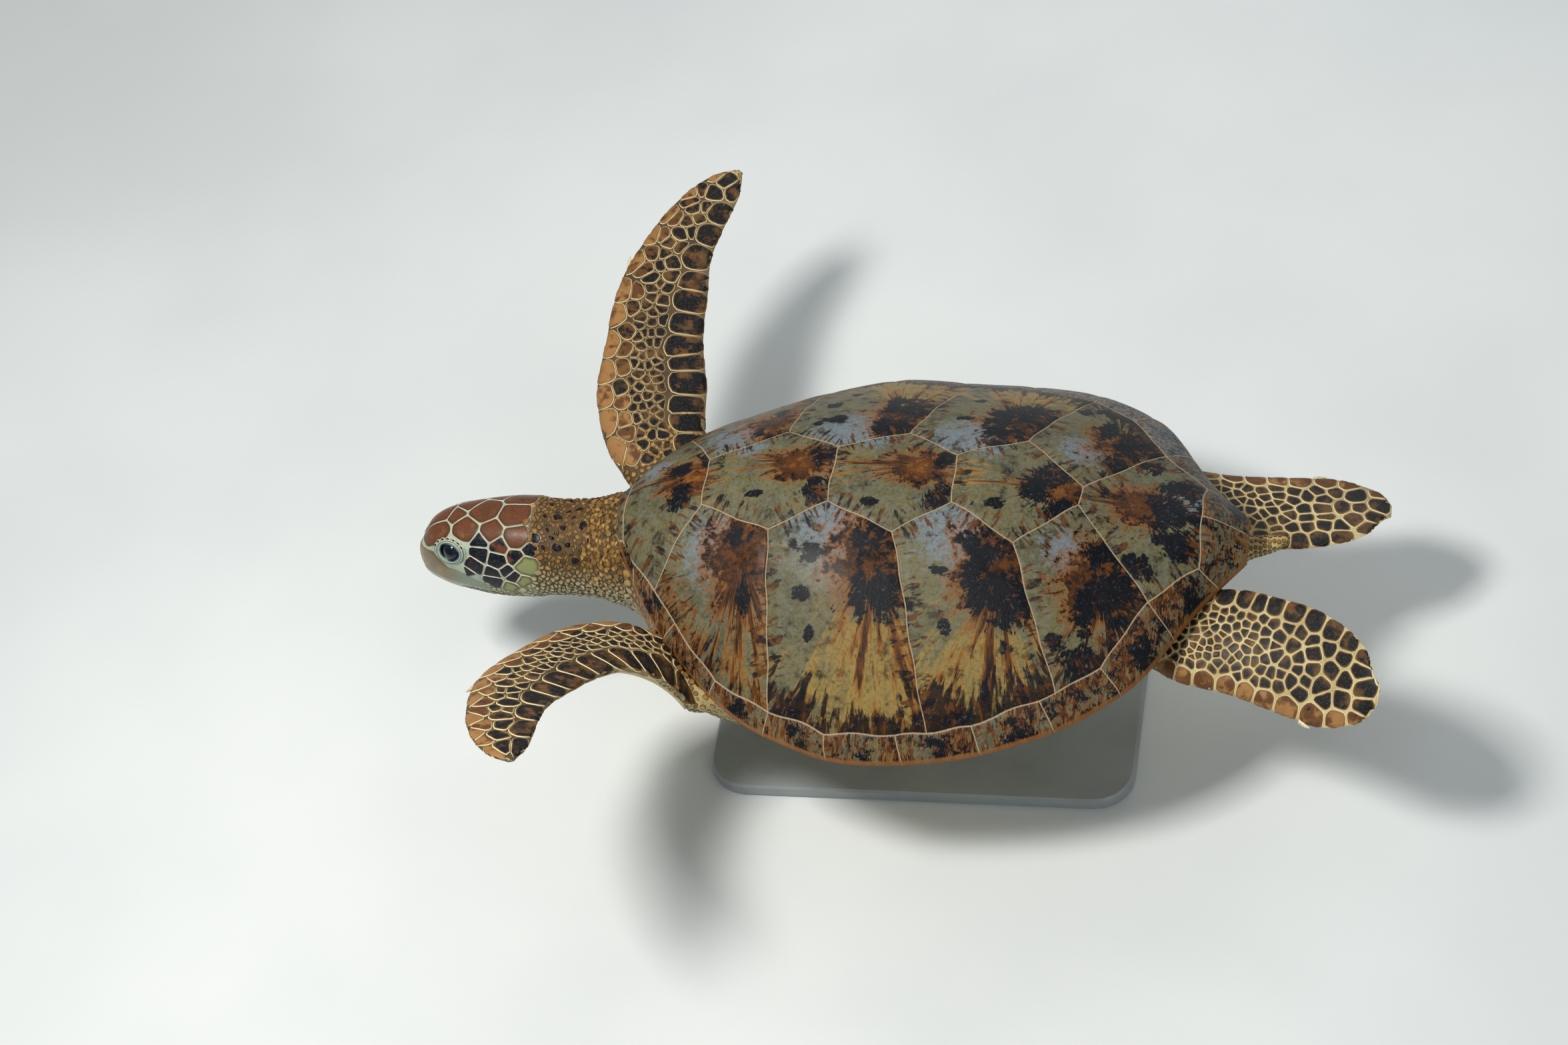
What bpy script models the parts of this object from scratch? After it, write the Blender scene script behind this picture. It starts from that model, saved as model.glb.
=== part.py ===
"""Green sea turtle, a life-size still model in a cruising pose on a plain display stand.

Metres, +Z up. The head points to -X and the turtle's left side is -Y. The origin is the
centre of the stand base's underside.
"""
import math

import bmesh
import bpy
import numpy as np
from mathutils import Matrix

# ---- driving dimensions -------------------------------------------------------------
SHELL_LENGTH = 0.80          # straight length of the carapace
SHELL_FRONT_X = -0.37        # nuchal edge, from the middle of the stand
BODY_Z = 0.28                # height of the shell's rim plane over the floor
DOME_RISE = 0.2314           # dome height over the rim, as a share of the shell length
SHELL_THICKNESS = 0.009      # vertical thickness of the carapace scutes
PLASTRON_THICKNESS = 0.007
GAP = 0.0003                 # clearance that neighbouring solids keep
CLEARANCE_HEIGHT = 0.30      # reach of the volumes that keep the flesh off the plates
HEAD_LENGTH = 0.178
SNOUT_X = -0.287             # snout tip, from the nuchal edge
HEAD_AXIS_Z = -0.018         # head and neck axis, from the rim plane
HEAD_ROLL = math.radians(5)  # the crown leans to the turtle's right
EYE_RADIUS = 0.0165
BASE_SIZE = (0.56, 0.40, 0.020)
ROD_RADIUS = 0.009
FLIPPER_FRONT_LENGTH = 0.50
FLIPPER_HIND_LENGTH = 0.303


def clear_scene():
    for obj in list(bpy.data.objects):
        bpy.data.objects.remove(obj, do_unlink=True)


def new_collection(name):
    collection = bpy.data.collections.new(name)
    bpy.context.scene.collection.children.link(collection)
    return collection


def make_material(name, color, roughness, metallic=0.0):
    material = bpy.data.materials.new(name)
    material.use_nodes = True
    shader = material.node_tree.nodes["Principled BSDF"]
    shader.inputs["Base Color"].default_value = (*color, 1.0)
    shader.inputs["Roughness"].default_value = roughness
    shader.inputs["Metallic"].default_value = metallic
    return material


clear_scene()
TURTLE = new_collection("green_sea_turtle")
CUTTERS = new_collection("cutters")
SCUTE = make_material("carapace_horn", (0.16, 0.13, 0.06), 0.35)
BELLY = make_material("plastron_horn", (0.75, 0.68, 0.45), 0.45)
SKIN = make_material("turtle_skin", (0.35, 0.27, 0.15), 0.6)
BEAK = make_material("beak_horn", (0.42, 0.37, 0.24), 0.4)
CLAW = make_material("claw_horn", (0.30, 0.24, 0.14), 0.4)
EYE = make_material("eye_dark", (0.01, 0.015, 0.03), 0.05)
STEEL = make_material("stand_steel", (0.06, 0.06, 0.06), 0.45, 0.6)


# ---- curves through named stations --------------------------------------------------
def smooth_curve(stations, values):
    """Monotone cubic through the stations: slopes are weighted harmonic means."""
    x, y = np.array(stations, float), np.array(values, float)
    h, delta = np.diff(x), np.diff(y) / np.diff(x)
    slope = np.zeros(len(x))
    slope[0], slope[-1] = delta[0], delta[-1]
    for i in range(1, len(x) - 1):
        if delta[i - 1] * delta[i] > 0:
            w1, w2 = 2 * h[i] + h[i - 1], h[i] + 2 * h[i - 1]
            slope[i] = (w1 + w2) / (w1 / delta[i - 1] + w2 / delta[i])

    def value(at):
        at = np.clip(np.asarray(at, float), x[0], x[-1])
        i = np.clip(np.searchsorted(x, at, side="right") - 1, 0, len(x) - 2)
        u = (at - x[i]) / h[i]
        return (y[i] * (1 + 2 * u) * (1 - u) ** 2 + y[i + 1] * u * u * (3 - 2 * u)
                + slope[i] * h[i] * u * (1 - u) ** 2 - slope[i + 1] * h[i] * u * u * (1 - u))

    return value


def place(x, y, z):
    """Shell coordinates, from the nuchal edge and the rim plane, to the part's frame."""
    x, y, z = np.broadcast_arrays(x, y, z)
    return np.stack([x + SHELL_FRONT_X, y, z + BODY_Z], axis=-1)


# ---- mesh tools ---------------------------------------------------------------------
def add_object(name, bm, material, collection=TURTLE, smooth_angle=None):
    bmesh.ops.recalc_face_normals(bm, faces=bm.faces)
    mesh = bpy.data.meshes.new(name)
    bm.to_mesh(mesh)
    bm.free()
    mesh.materials.append(material)
    if smooth_angle:
        mesh.shade_smooth()
        mesh.set_sharp_from_angle(angle=math.radians(smooth_angle))
    obj = bpy.data.objects.new(name, mesh)
    collection.objects.link(obj)
    if collection == CUTTERS:
        obj.hide_render = True
        obj.display_type = "WIRE"
    return obj


def boolean(obj, cutter, operation="DIFFERENCE"):
    modifier = obj.modifiers.new(operation.lower() + "_" + cutter.name, "BOOLEAN")
    modifier.operation = operation
    modifier.object = cutter
    return obj


def loft(rings):
    """Closed solid through rings of points; each end is closed by one face."""
    bm = bmesh.new()
    loops = [[bm.verts.new(point) for point in ring] for ring in rings]
    count = len(loops[0])
    for low, high in zip(loops, loops[1:]):
        for i in range(count):
            j = (i + 1) % count
            bm.faces.new((low[i], low[j], high[j], high[i]))
    bm.faces.new(loops[0][::-1])
    bm.faces.new(loops[-1])
    return bm


def sheet(points, depth):
    """Grid of points, extruded straight down by depth into a closed plate."""
    bm = bmesh.new()
    rows = [[bm.verts.new(point) for point in row] for row in points]
    for low, high in zip(rows, rows[1:]):
        for i in range(len(low) - 1):
            bm.faces.new((low[i], low[i + 1], high[i + 1], high[i]))
    bmesh.ops.triangulate(bm, faces=bm.faces, quad_method="FIXED")
    result = bmesh.ops.extrude_face_region(bm, geom=list(bm.faces))
    moved = [v for v in result["geom"] if isinstance(v, bmesh.types.BMVert)]
    bmesh.ops.translate(bm, verts=moved, vec=(0, 0, -depth))
    return bm


def inset_outline(points, distance):
    """Moves each side of a plan outline inwards by distance, with mitred corners."""
    points = np.array(points, float)
    ahead = np.roll(points, -1, axis=0) - points
    ahead /= np.linalg.norm(ahead, axis=1)[:, None]
    area = np.sum(points[:, 0] * np.roll(points[:, 1], -1) - np.roll(points[:, 0], -1) * points[:, 1])
    inward = np.stack([-ahead[:, 1], ahead[:, 0]], axis=1) * np.sign(area)
    before = np.roll(inward, 1, axis=0)
    mitre = inward + before
    mitre /= np.sum(mitre * inward, axis=1)[:, None]
    return points + mitre * distance


def prism(name, outline):
    """Tall plan prism that picks one scute out of a plate."""
    low, high = BODY_Z - 0.25, BODY_Z + 0.35
    bm = bmesh.new()
    face = bm.faces.new([bm.verts.new((x, y, low)) for x, y in inset_outline(outline, GAP / 2)])
    result = bmesh.ops.extrude_face_region(bm, geom=[face])
    moved = [v for v in result["geom"] if isinstance(v, bmesh.types.BMVert)]
    bmesh.ops.translate(bm, verts=moved, vec=(0, 0, high - low))
    return add_object(name + "_outline", bm, SCUTE, CUTTERS)


# ---- carapace -----------------------------------------------------------------------
# Stations s run from 0 at the nuchal edge to 1 at the rear; t runs from 0 on the midline
# to 1 at the rim. Widths and heights are shares of the shell length.
rim_half_width = smooth_curve([0, .06, .15, .28, .42, .56, .70, .84, .94, 1],
                              [.044, .160, .266, .354, .393, .382, .350, .266, .115, .042])
dome_height = smooth_curve([0, .06, .15, .28, .42, .56, .70, .84, .94, 1],
                           [.112, .373, .686, .920, .971, .939, .733, .421, .293, .06])
rim_height = smooth_curve([0, .25, .5, .75, 1], [.067, -.03, -.043, -.01, .036])


def carapace_point(s, t):
    s, t = np.broadcast_arrays(np.asarray(s, float), np.asarray(t, float))
    crown = np.clip(1 - np.abs(t) ** 1.8, 0, 1)
    return place(s * SHELL_LENGTH, t * rim_half_width(s) * SHELL_LENGTH,
                 (rim_height(s) + DOME_RISE * dome_height(s) * crown) * SHELL_LENGTH)


SHELL_ROWS = [0, .025, .06, .11, .17, .25, .34, .44, .54, .64, .73, .81, .88, .94, .975, 1]
SHELL_COLUMNS = [-1, -.93, -.8, -.64, -.46, -.29, -.12, .12, .29, .46, .64, .8, .93, 1]


def carapace_grid():
    return carapace_point(np.array(SHELL_ROWS)[:, None], SHELL_COLUMNS)


def widen_edge(points, lift):
    """Moves the border of a grid outwards in plan by a few gaps, and up or down with it."""
    border = np.zeros(points.shape[:2], bool)
    border[[0, -1], :] = border[:, [0, -1]] = True
    outward = points[border][:, :2] - points[..., :2].mean(axis=(0, 1))
    outward /= np.linalg.norm(outward, axis=1)[:, None]
    points[border] += np.column_stack([outward * 3 * GAP, np.full(len(outward), lift)])
    return points


def carapace_clearance():
    """Everything over the carapace's underside, a clearance lower and wider than the shell."""
    points = widen_edge(carapace_grid(), -5 * GAP)
    points[..., 2] += CLEARANCE_HEIGHT
    depth = CLEARANCE_HEIGHT + SHELL_THICKNESS + GAP
    return add_object("carapace_clearance", sheet(points, depth), SCUTE, CUTTERS)


# Corners of the scutes as (s, t); the left side mirrors the right.
VERTEBRAL_CORNERS = [(.156, .173), (.365, .143), (.556, .122), (.748, .055)]
LATERAL_CORNERS = [(.085, .80), (.275, .286), (.472, .258), (.656, .285), (.859, .597)]
MARGINAL_INNER = [(.017, .805), (.041, .794), (.085, .80), (.122, .846), (.195, .931), (.287, .922),
                  (.378, .930), (.487, .923), (.535, .920), (.604, .912), (.708, .881),
                  (.730, .872), (.797, .832), (.859, .597), (.931, .617)]
NUCHAL_CORNER = (.006, 1.0)
COSTAL_RIM_ENDS = [2, 5, 8, 11, 13]      # where costal seams meet the marginal line


def plan(corner, side):
    point = carapace_point(corner[0], corner[1] * side)
    return (float(point[0]), float(point[1]))


def both_sides(corners):
    """Closed outline from corners down the right side and back up the left."""
    return [plan(c, 1) for c in corners] + [plan(c, -1) for c in reversed(corners)]


def scute_outlines():
    v, lateral, inner = VERTEBRAL_CORNERS, LATERAL_CORNERS, MARGINAL_INNER
    front_x, rear_x, wide = SHELL_FRONT_X - 0.05, SHELL_FRONT_X + SHELL_LENGTH + 0.05, 0.5
    nuchal_y = plan(NUCHAL_CORNER, 1)[1]
    outlines = {
        "carapace_nuchal": [(front_x, nuchal_y), plan(NUCHAL_CORNER, 1), plan(inner[0], 1),
                            plan(inner[0], -1), plan(NUCHAL_CORNER, -1), (front_x, -nuchal_y)],
        "carapace_vertebral_1": both_sides(inner[:3] + [v[0]]),
        "carapace_vertebral_5": both_sides([v[3], lateral[4], inner[-1]]),
    }
    for i in range(3):
        outlines[f"carapace_vertebral_{i + 2}"] = both_sides([v[i], lateral[i + 1], v[i + 1]])
    for side, word in ((1, "right"), (-1, "left")):
        for i in range(4):
            start, end = COSTAL_RIM_ENDS[i], COSTAL_RIM_ENDS[i + 1]
            corners = [lateral[i], v[i], lateral[i + 1]] + inner[start:end + 1][::-1]
            corners = list(dict.fromkeys(corners))
            outlines[f"carapace_costal_{word}_{i + 1}"] = [plan(c, side) for c in corners]
        outlines[f"carapace_marginals_{word}"] = (
            [(front_x, nuchal_y * side), plan(NUCHAL_CORNER, side)] + [plan(c, side) for c in inner]
            + [(plan(inner[-1], side)[0], 0.0), (rear_x, 0.0), (rear_x, wide * side),
               (front_x, wide * side)])
    return outlines


def make_carapace():
    for name, outline in scute_outlines().items():
        scute = add_object(name, sheet(carapace_grid(), SHELL_THICKNESS), SCUTE, smooth_angle=40)
        boolean(scute, prism(name, outline), "INTERSECT")


# ---- plastron -----------------------------------------------------------------------
# Stations are shares of the shell length from the nuchal edge; t is 1 at the outer edge.
PLASTRON_ROWS = [.04, .08, .14, .20, .27, .36, .48, .58, .66, .76, .85, .91]
plastron_half_width = smooth_curve([.04, .07, .13, .20, .25, .31, .45, .58, .65, .70, .80, .88, .91],
                                   [.03, .08, .15, .195, .26, .325, .355, .335, .27, .18, .13, .07, .03])
plastron_keel = smooth_curve([.04, .12, .25, .62, .78, .91], [-.072, -.108, -.13, -.13, -.112, -.072])
plastron_edge = smooth_curve([.04, .12, .22, .31, .45, .58, .67, .78, .91],
                             [-.066, -.092, -.085, -.050, -.047, -.042, -.070, -.094, -.064])
PLASTRON_COLUMNS = [-1, -.8, -.5, -.2, .2, .5, .8, 1]


def plastron_point(s, t):
    """Lower face of the plastron: flat along the keel, turned up to the bridge at the sides."""
    s, t = np.broadcast_arrays(np.asarray(s, float), np.asarray(t, float))
    lift = np.clip((np.abs(t) - .25) / .75, 0, 1) ** 2.2
    keel, edge = plastron_keel(s), plastron_edge(s)
    return place(s * SHELL_LENGTH, t * plastron_half_width(s) * SHELL_LENGTH, keel + (edge - keel) * lift)


def plastron_plate():
    points = plastron_point(np.array(PLASTRON_ROWS)[:, None], PLASTRON_COLUMNS)
    points[..., 2] += PLASTRON_THICKNESS
    return sheet(points, PLASTRON_THICKNESS)


def plastron_clearance():
    """Everything under the plastron's inner face, a clearance higher and wider than it."""
    points = plastron_point(np.array(PLASTRON_ROWS)[:, None], PLASTRON_COLUMNS)
    points = widen_edge(points, 4 * GAP)
    points[..., 2] += PLASTRON_THICKNESS + GAP
    return add_object("plastron_clearance", sheet(points, 0.10), BELLY, CUTTERS)


PLASTRON_NAMES = ["gular", "humeral", "pectoral", "abdominal", "femoral", "anal"]
PLASTRON_SEAMS = [.04, .115, .235, .39, .545, .715, .91]
BRIDGE_STATIONS = [.235, .29, .34, .39, .44, .49, .545, .60, .66]
BRIDGE_INNER = .70            # t of the seam between the main scutes and the bridge
PLAN_REACH = 0.50             # outlines end this far from the midline


def plastron_outline(low, high, side):
    """Plan outline of one main scute, which stops at the bridge where there is one."""
    def plan_point(s, t):
        point = plastron_point(s, t)
        return (float(point[0]), float(point[1]))

    end_reach = 0.05
    x_low = plan_point(low, 0)[0] - (end_reach if low == PLASTRON_SEAMS[0] else 0)
    x_high = plan_point(high, 0)[0] + (end_reach if high == PLASTRON_SEAMS[-1] else 0)
    outline = [(x_low, 0.0), (x_high, 0.0)]
    along_bridge = [s for s in reversed(BRIDGE_STATIONS) if low <= s <= high]
    if len(along_bridge) < 2:
        return outline + [(x_high, PLAN_REACH * side), (x_low, PLAN_REACH * side)]
    if high > BRIDGE_STATIONS[-1]:
        outline += [(x_high, PLAN_REACH * side), (plan_point(along_bridge[0], 0)[0], PLAN_REACH * side)]
    return outline + [plan_point(s, BRIDGE_INNER * side) for s in along_bridge]


def make_plastron():
    for side, word in ((1, "right"), (-1, "left")):
        outlines = {f"plastron_{name}_{word}": plastron_outline(low, high, side)
                    for name, low, high in zip(PLASTRON_NAMES, PLASTRON_SEAMS, PLASTRON_SEAMS[1:])}
        inner = plastron_point(BRIDGE_STATIONS, BRIDGE_INNER * side)[:, :2]
        ends = [(inner[-1][0], PLAN_REACH * side), (inner[0][0], PLAN_REACH * side)]
        outlines[f"plastron_bridge_{word}"] = [tuple(point) for point in inner] + ends
        for name, outline in outlines.items():
            plate = add_object(name, plastron_plate(), BELLY, smooth_angle=40)
            boolean(plate, prism(name, outline), "INTERSECT")
            boolean(plate, CARAPACE_CLEARANCE)


# ---- flesh --------------------------------------------------------------------------
def oval_ring(center, across, up, width, top, bottom, count, powers=(2.0, 2.0)):
    """Superellipse ring; powers are those of its upper and of its lower half."""
    angle = np.linspace(0, 2 * np.pi, count, endpoint=False)
    c, s = np.cos(angle), np.sin(angle)
    power = np.where(s > 0, *powers)
    a = np.sign(c) * np.abs(c) ** (2 / power) * width
    b = np.sign(s) * np.abs(s) ** (2 / power) * np.where(s > 0, top, bottom)
    return np.asarray(center) + np.outer(a, across) + np.outer(b, up)


# The trunk fills the shell and swells round the neck and shoulders; s as on the carapace.
# The left shoulder stands further out than the right, because that flipper is swept back.
TRUNK_STATIONS = [-.045, -.02, 0, .02, .045, .07, .125, .20, .30, .42, .58, .70, .80, .88, .93]
trunk_left = smooth_curve(TRUNK_STATIONS, [.070, .078, .086, .100, .130, .180, .268, .303, .328, .350, .335,
                                           .285, .190, .100, .050])
trunk_right = smooth_curve(TRUNK_STATIONS, [.070, .078, .086, .100, .125, .155, .215, .275, .325, .350, .335,
                                            .285, .190, .100, .050])
trunk_top = smooth_curve([-.045, -.02, .02, .08, .2, .8, .93], [.030, .036, .055, .095, .17, .2, .08])
trunk_bottom = smooth_curve([-.045, -.02, .02, .08, .2, .7, .85, .93],
                            [-.080, -.088, -.100, -.120, -.135, -.135, -.10, -.035])
FLANK_Z = -0.025              # height at which the trunk is widest
TRUNK_ROWS = [-.045, -.02, 0, .03, .06, .095, .14, .20, .30, .44, .58, .68, .76, .83, .89, .93]


def trunk_mesh(grow=0.0):
    rings = []
    for s in TRUNK_ROWS:
        left, right = float(trunk_left(s)) * SHELL_LENGTH, float(trunk_right(s)) * SHELL_LENGTH
        rings.append(oval_ring(place(s * SHELL_LENGTH, (right - left) / 2, FLANK_Z), (0, 1, 0), (0, 0, 1),
                               (left + right) / 2 + grow,
                               float(trunk_top(s)) - FLANK_Z + grow,
                               FLANK_Z - float(trunk_bottom(s)) + grow, 18, powers=(1.6, 2.6)))
    rings[0][:, 0] -= grow
    rings[-1][:, 0] += grow
    return loft(rings)


def make_trunk():
    trunk = add_object("trunk", trunk_mesh(), SKIN, smooth_angle=50)
    boolean(trunk, CARAPACE_CLEARANCE)
    boolean(trunk, plastron_clearance())


def make_neck():
    stations = [HEAD_LENGTH + GAP, .205, .235, .265, .31]
    half = smooth_curve([.178, .20, .235, .27, .31], [.0605, .0615, .063, .071, .078])
    rings = []
    for d in stations:
        center = place(SNOUT_X + d, 0, HEAD_AXIS_Z)
        radius = float(half(d))
        rings.append(oval_ring(center, *head_axes(1 - (d - HEAD_LENGTH) / .13), radius, radius, radius, 20))
    neck = add_object("neck", loft(rings), SKIN, smooth_angle=50)
    boolean(neck, TRUNK_CLEARANCE)
    boolean(neck, CARAPACE_CLEARANCE)


# ---- head ---------------------------------------------------------------------------
HEAD_ROWS = [0, .004, .012, .024, .040, .060, .085, .112, .140, .165, HEAD_LENGTH]
head_half_width = smooth_curve(HEAD_ROWS, [.012, .019, .027, .035, .043, .0495, .0555, .0600, .0620, .0620, .0605])
head_crown = smooth_curve(HEAD_ROWS, [.004, .0135, .027, .0415, .0505, .0565, .0610, .0640, .0665, .0665, .0625])
head_throat = smooth_curve(HEAD_ROWS, [.036, .0440, .0485, .0525, .0570, .0605, .0640, .0665, .0670, .0655, .0620])


def head_axes(share=1.0):
    """Directions to the turtle's left and up, leaned by a share of the head's roll."""
    roll = HEAD_ROLL * share
    return np.array([0, -math.cos(roll), math.sin(roll)]), np.array([0, math.sin(roll), math.cos(roll)])


def head_point(d, left, up):
    across, upward = head_axes()
    return place(SNOUT_X + d, 0, HEAD_AXIS_Z) + across * left + upward * up


def head_mesh():
    across, upward = head_axes()
    rings = []
    for d in HEAD_ROWS:
        crown, throat = float(head_crown(d)), float(head_throat(d))
        middle, half = (crown - throat) / 2, (crown + throat) / 2
        rings.append(oval_ring(head_point(d, 0, middle), across, upward, float(head_half_width(d)),
                               half, half, 24, powers=(2.2, 2.2)))
    return loft(rings)


def side_prism(name, outline):
    """Prism across the head; the outline is (distance behind the snout, height)."""
    bm = bmesh.new()
    face = bm.faces.new([bm.verts.new(head_point(d, -0.09, up)) for d, up in outline])
    result = bmesh.ops.extrude_face_region(bm, geom=[face])
    moved = [v for v in result["geom"] if isinstance(v, bmesh.types.BMVert)]
    across = head_axes()[0] * 0.18
    bmesh.ops.translate(bm, verts=moved, vec=across)
    return add_object(name, bm, BEAK, CUTTERS)


MOUTH_LINE = [(-.02, -.0300), (.020, -.0305), (.043, -.0300), (.062, -.0285)]
UPPER_BEAK = ([(-.02, .008), (.0045, .009), (.022, .019), (.037, .0105), (.048, .0035), (.065, .0015),
               (.080, -.0050), (.098, -.0165), (.110, -.0300), (.085, -.0275)] + MOUTH_LINE[::-1])
LOWER_BEAK = MOUTH_LINE + [(.062, -.0480), (.045, -.09), (-.02, -.09)]


def eye_place(side):
    return head_point(.0575, .0302 * side, .0213)


def ball(name, center, radius, segments, material, collection):
    bm = bmesh.new()
    bmesh.ops.create_uvsphere(bm, u_segments=segments, v_segments=segments // 2, radius=radius)
    bmesh.ops.rotate(bm, cent=(0, 0, 0), matrix=Matrix.Rotation(math.pi / 2, 3, "X"), verts=bm.verts)
    bmesh.ops.translate(bm, verts=bm.verts, vec=center)
    return add_object(name, bm, material, collection, smooth_angle=60)


def make_head():
    head = add_object("head", head_mesh(), SKIN, smooth_angle=50)
    for name, outline in (("beak_upper", UPPER_BEAK), ("beak_lower", LOWER_BEAK)):
        piece = add_object(name, head_mesh(), BEAK, smooth_angle=50)
        boolean(piece, side_prism(name + "_outline", inset_outline(outline, GAP / 2)), "INTERSECT")
        boolean(head, side_prism(name + "_clearance", inset_outline(outline, -GAP / 2)))
    for side, word in ((1, "left"), (-1, "right")):
        ball(f"eye_{word}", eye_place(side), EYE_RADIUS, 12, EYE, TURTLE)
        boolean(head, ball(f"eye_{word}_socket", eye_place(side), EYE_RADIUS + 2 * GAP, 12, EYE, CUTTERS))


# ---- flippers -----------------------------------------------------------------------
def bent_blade(start, forward, edge, face, length, bend_in_plane, bend_out, twist, steps):
    """Walks a blade's midline; edge points to its front edge and face out of its upper side.

    Each bend is (rate at the root, change along the blade), in radians over the length.
    """
    point = np.array(start, float)
    forward, edge, face = (np.array(v, float) for v in (forward, edge, face))
    frames = [(point, forward, edge, face)]
    for i in range(steps):
        share, h = i / steps, 1 / steps
        turn = (bend_in_plane[0] + bend_in_plane[1] * share) * h
        lift = (bend_out[0] + bend_out[1] * share) * h
        roll = (twist[0] + twist[1] * share) * h
        new_forward = forward - edge * turn + face * lift
        new_edge = edge + forward * turn - face * roll
        new_face = face - forward * lift + edge * roll
        forward = new_forward / np.linalg.norm(new_forward)
        edge = new_edge - forward * (new_edge @ forward)
        edge /= np.linalg.norm(edge)
        face = new_face - forward * (new_face @ forward) - edge * (new_face @ edge)
        face /= np.linalg.norm(face)
        point = point + forward * h * length
        frames.append((point, forward, edge, face))
    return frames


def blade_ring(point, edge, face, ahead, behind, thick, count):
    """Lens section, roundest at the leading edge."""
    angle = np.linspace(0, 2 * np.pi, count, endpoint=False)
    c, s = np.cos(angle), np.sin(angle)
    chord = (ahead + behind) / 2 * c + (ahead - behind) / 2
    depth = thick * s * (0.78 + 0.22 * c)
    return point + np.outer(chord, edge) + np.outer(depth, face)


ROOT_SHARE = 0.32             # share of a blade that is shaped by the shoulder or hip
FRONT_STATIONS = [0, .12, .25, .4, .55, .7, .82, .92, .97, 1]
front_ahead = smooth_curve(FRONT_STATIONS, [.053, .073, .079, .069, .066, .054, .044, .031, .018, .004])
front_behind = smooth_curve(FRONT_STATIONS, [.046, .059, .069, .064, .059, .044, .038, .029, .016, .005])
front_thick = smooth_curve([0, .12, .25, .4, .55, .7, .85, 1], [.030, .026, .021, .016, .012, .009, .006, .0015])
HIND_STATIONS = [0, .15, .35, .55, .75, .9, .97, 1]
hind_ahead = smooth_curve(HIND_STATIONS, [.055, .061, .057, .061, .065, .053, .037, .020])
hind_behind = smooth_curve(HIND_STATIONS, [.052, .065, .074, .074, .063, .040, .010, .003])
hind_thick = smooth_curve([0, .15, .35, .55, .75, .9, 1], [.026, .021, .014, .009, .0065, .0045, .0015])

# root place, sweep towards the tail, lift, pitch of the leading edge, bends and twist
FRONT_POSE = {
    "right": dict(side=1, root=(.025, .137, -.020), sweep=.413, lift=.298, pitch=-.041,
                  bend_in_plane=(.78, .427), bend_out=(-.136, .012), twist=(.055, -.020),
                  lead_trim=-.008, armpit=.004, droop=0),
    "left": dict(side=-1, root=(.087, -.156, -.012), sweep=.940, lift=.605, pitch=.354,
                 bend_in_plane=(1.072, .358), bend_out=(-.259, -.051), twist=(.412, -.575),
                 lead_trim=.072, armpit=.057, droop=.75),
}
HIND_POSE = {
    "right": dict(side=1, root=(.667, .100, -.020), sweep=.162, lift=-.255, pitch=-.077,
                  bend_in_plane=(.194, 0), bend_out=(.189, 0), twist=(-.073, 0),
                  lead_trim=0, armpit=0, droop=0),
    "left": dict(side=-1, root=(.701, -.100, -.021), sweep=.355, lift=.020, pitch=-.387,
                 bend_in_plane=(.025, 0), bend_out=(.339, 0), twist=(-.346, 0),
                 lead_trim=0, armpit=0, droop=0),
}


def front_frames(pose, steps=60):
    side, sweep, lift, pitch = pose["side"], pose["sweep"], pose["lift"], pose["pitch"]
    forward = np.array([-math.sin(sweep) * math.cos(lift), side * math.cos(sweep) * math.cos(lift),
                        math.sin(lift)])
    edge = np.array([-math.cos(sweep), -side * math.sin(sweep), 0])
    face = np.cross(forward, edge)
    face *= np.sign(face[2])
    edge, face = (edge * math.cos(pitch) - face * math.sin(pitch),
                  edge * math.sin(pitch) + face * math.cos(pitch))
    return bent_blade(place(*pose["root"]), forward, edge, face, FLIPPER_FRONT_LENGTH,
                      pose["bend_in_plane"], pose["bend_out"], pose["twist"], steps)


def hind_frames(pose, steps=60):
    side, sweep, lift, pitch = pose["side"], pose["sweep"], pose["lift"], pose["pitch"]
    forward = np.array([math.cos(sweep) * math.cos(lift), side * math.sin(sweep) * math.cos(lift),
                        math.sin(lift)])
    edge = np.array([-math.sin(sweep), side * math.cos(sweep), 0])
    face = np.cross(forward, edge)
    face *= np.sign(face[2])
    edge, face = (edge * math.cos(pitch) + face * math.sin(pitch),
                  face * math.cos(pitch) - edge * math.sin(pitch))
    twist = tuple(-rate for rate in pose["twist"])
    return bent_blade(place(*pose["root"]), forward, edge, face, FLIPPER_HIND_LENGTH,
                      pose["bend_in_plane"], pose["bend_out"], twist, steps)


def flipper_rings(pose, frames, stations, ahead, behind, thick, root_reach, count=14):
    """Rings along a blade, with two more inside the body so that the root is buried.

    Near the root the front edge is trimmed, and the rear edge widens and drops to the armpit.
    """
    def ring(t, back, scale):
        point, forward, edge, face = frames[int(round(t * (len(frames) - 1)))]
        near_root = max(0, 1 - t / ROOT_SHARE) ** 1.5
        droop = pose["droop"] * near_root
        edge, face = (edge * math.cos(droop) + face * math.sin(droop),
                      face * math.cos(droop) - edge * math.sin(droop))
        front = float(ahead(t)) - pose["lead_trim"] * near_root
        rear = float(behind(t)) + pose["armpit"] * near_root
        return blade_ring(point - forward * back, edge, face, front * scale, rear * scale,
                          float(thick(t)) * scale, count)

    buried = [ring(0, root_reach, .55), ring(0, root_reach * .5, .85)]
    return buried + [ring(t, 0, 1) for t in stations]


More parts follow.
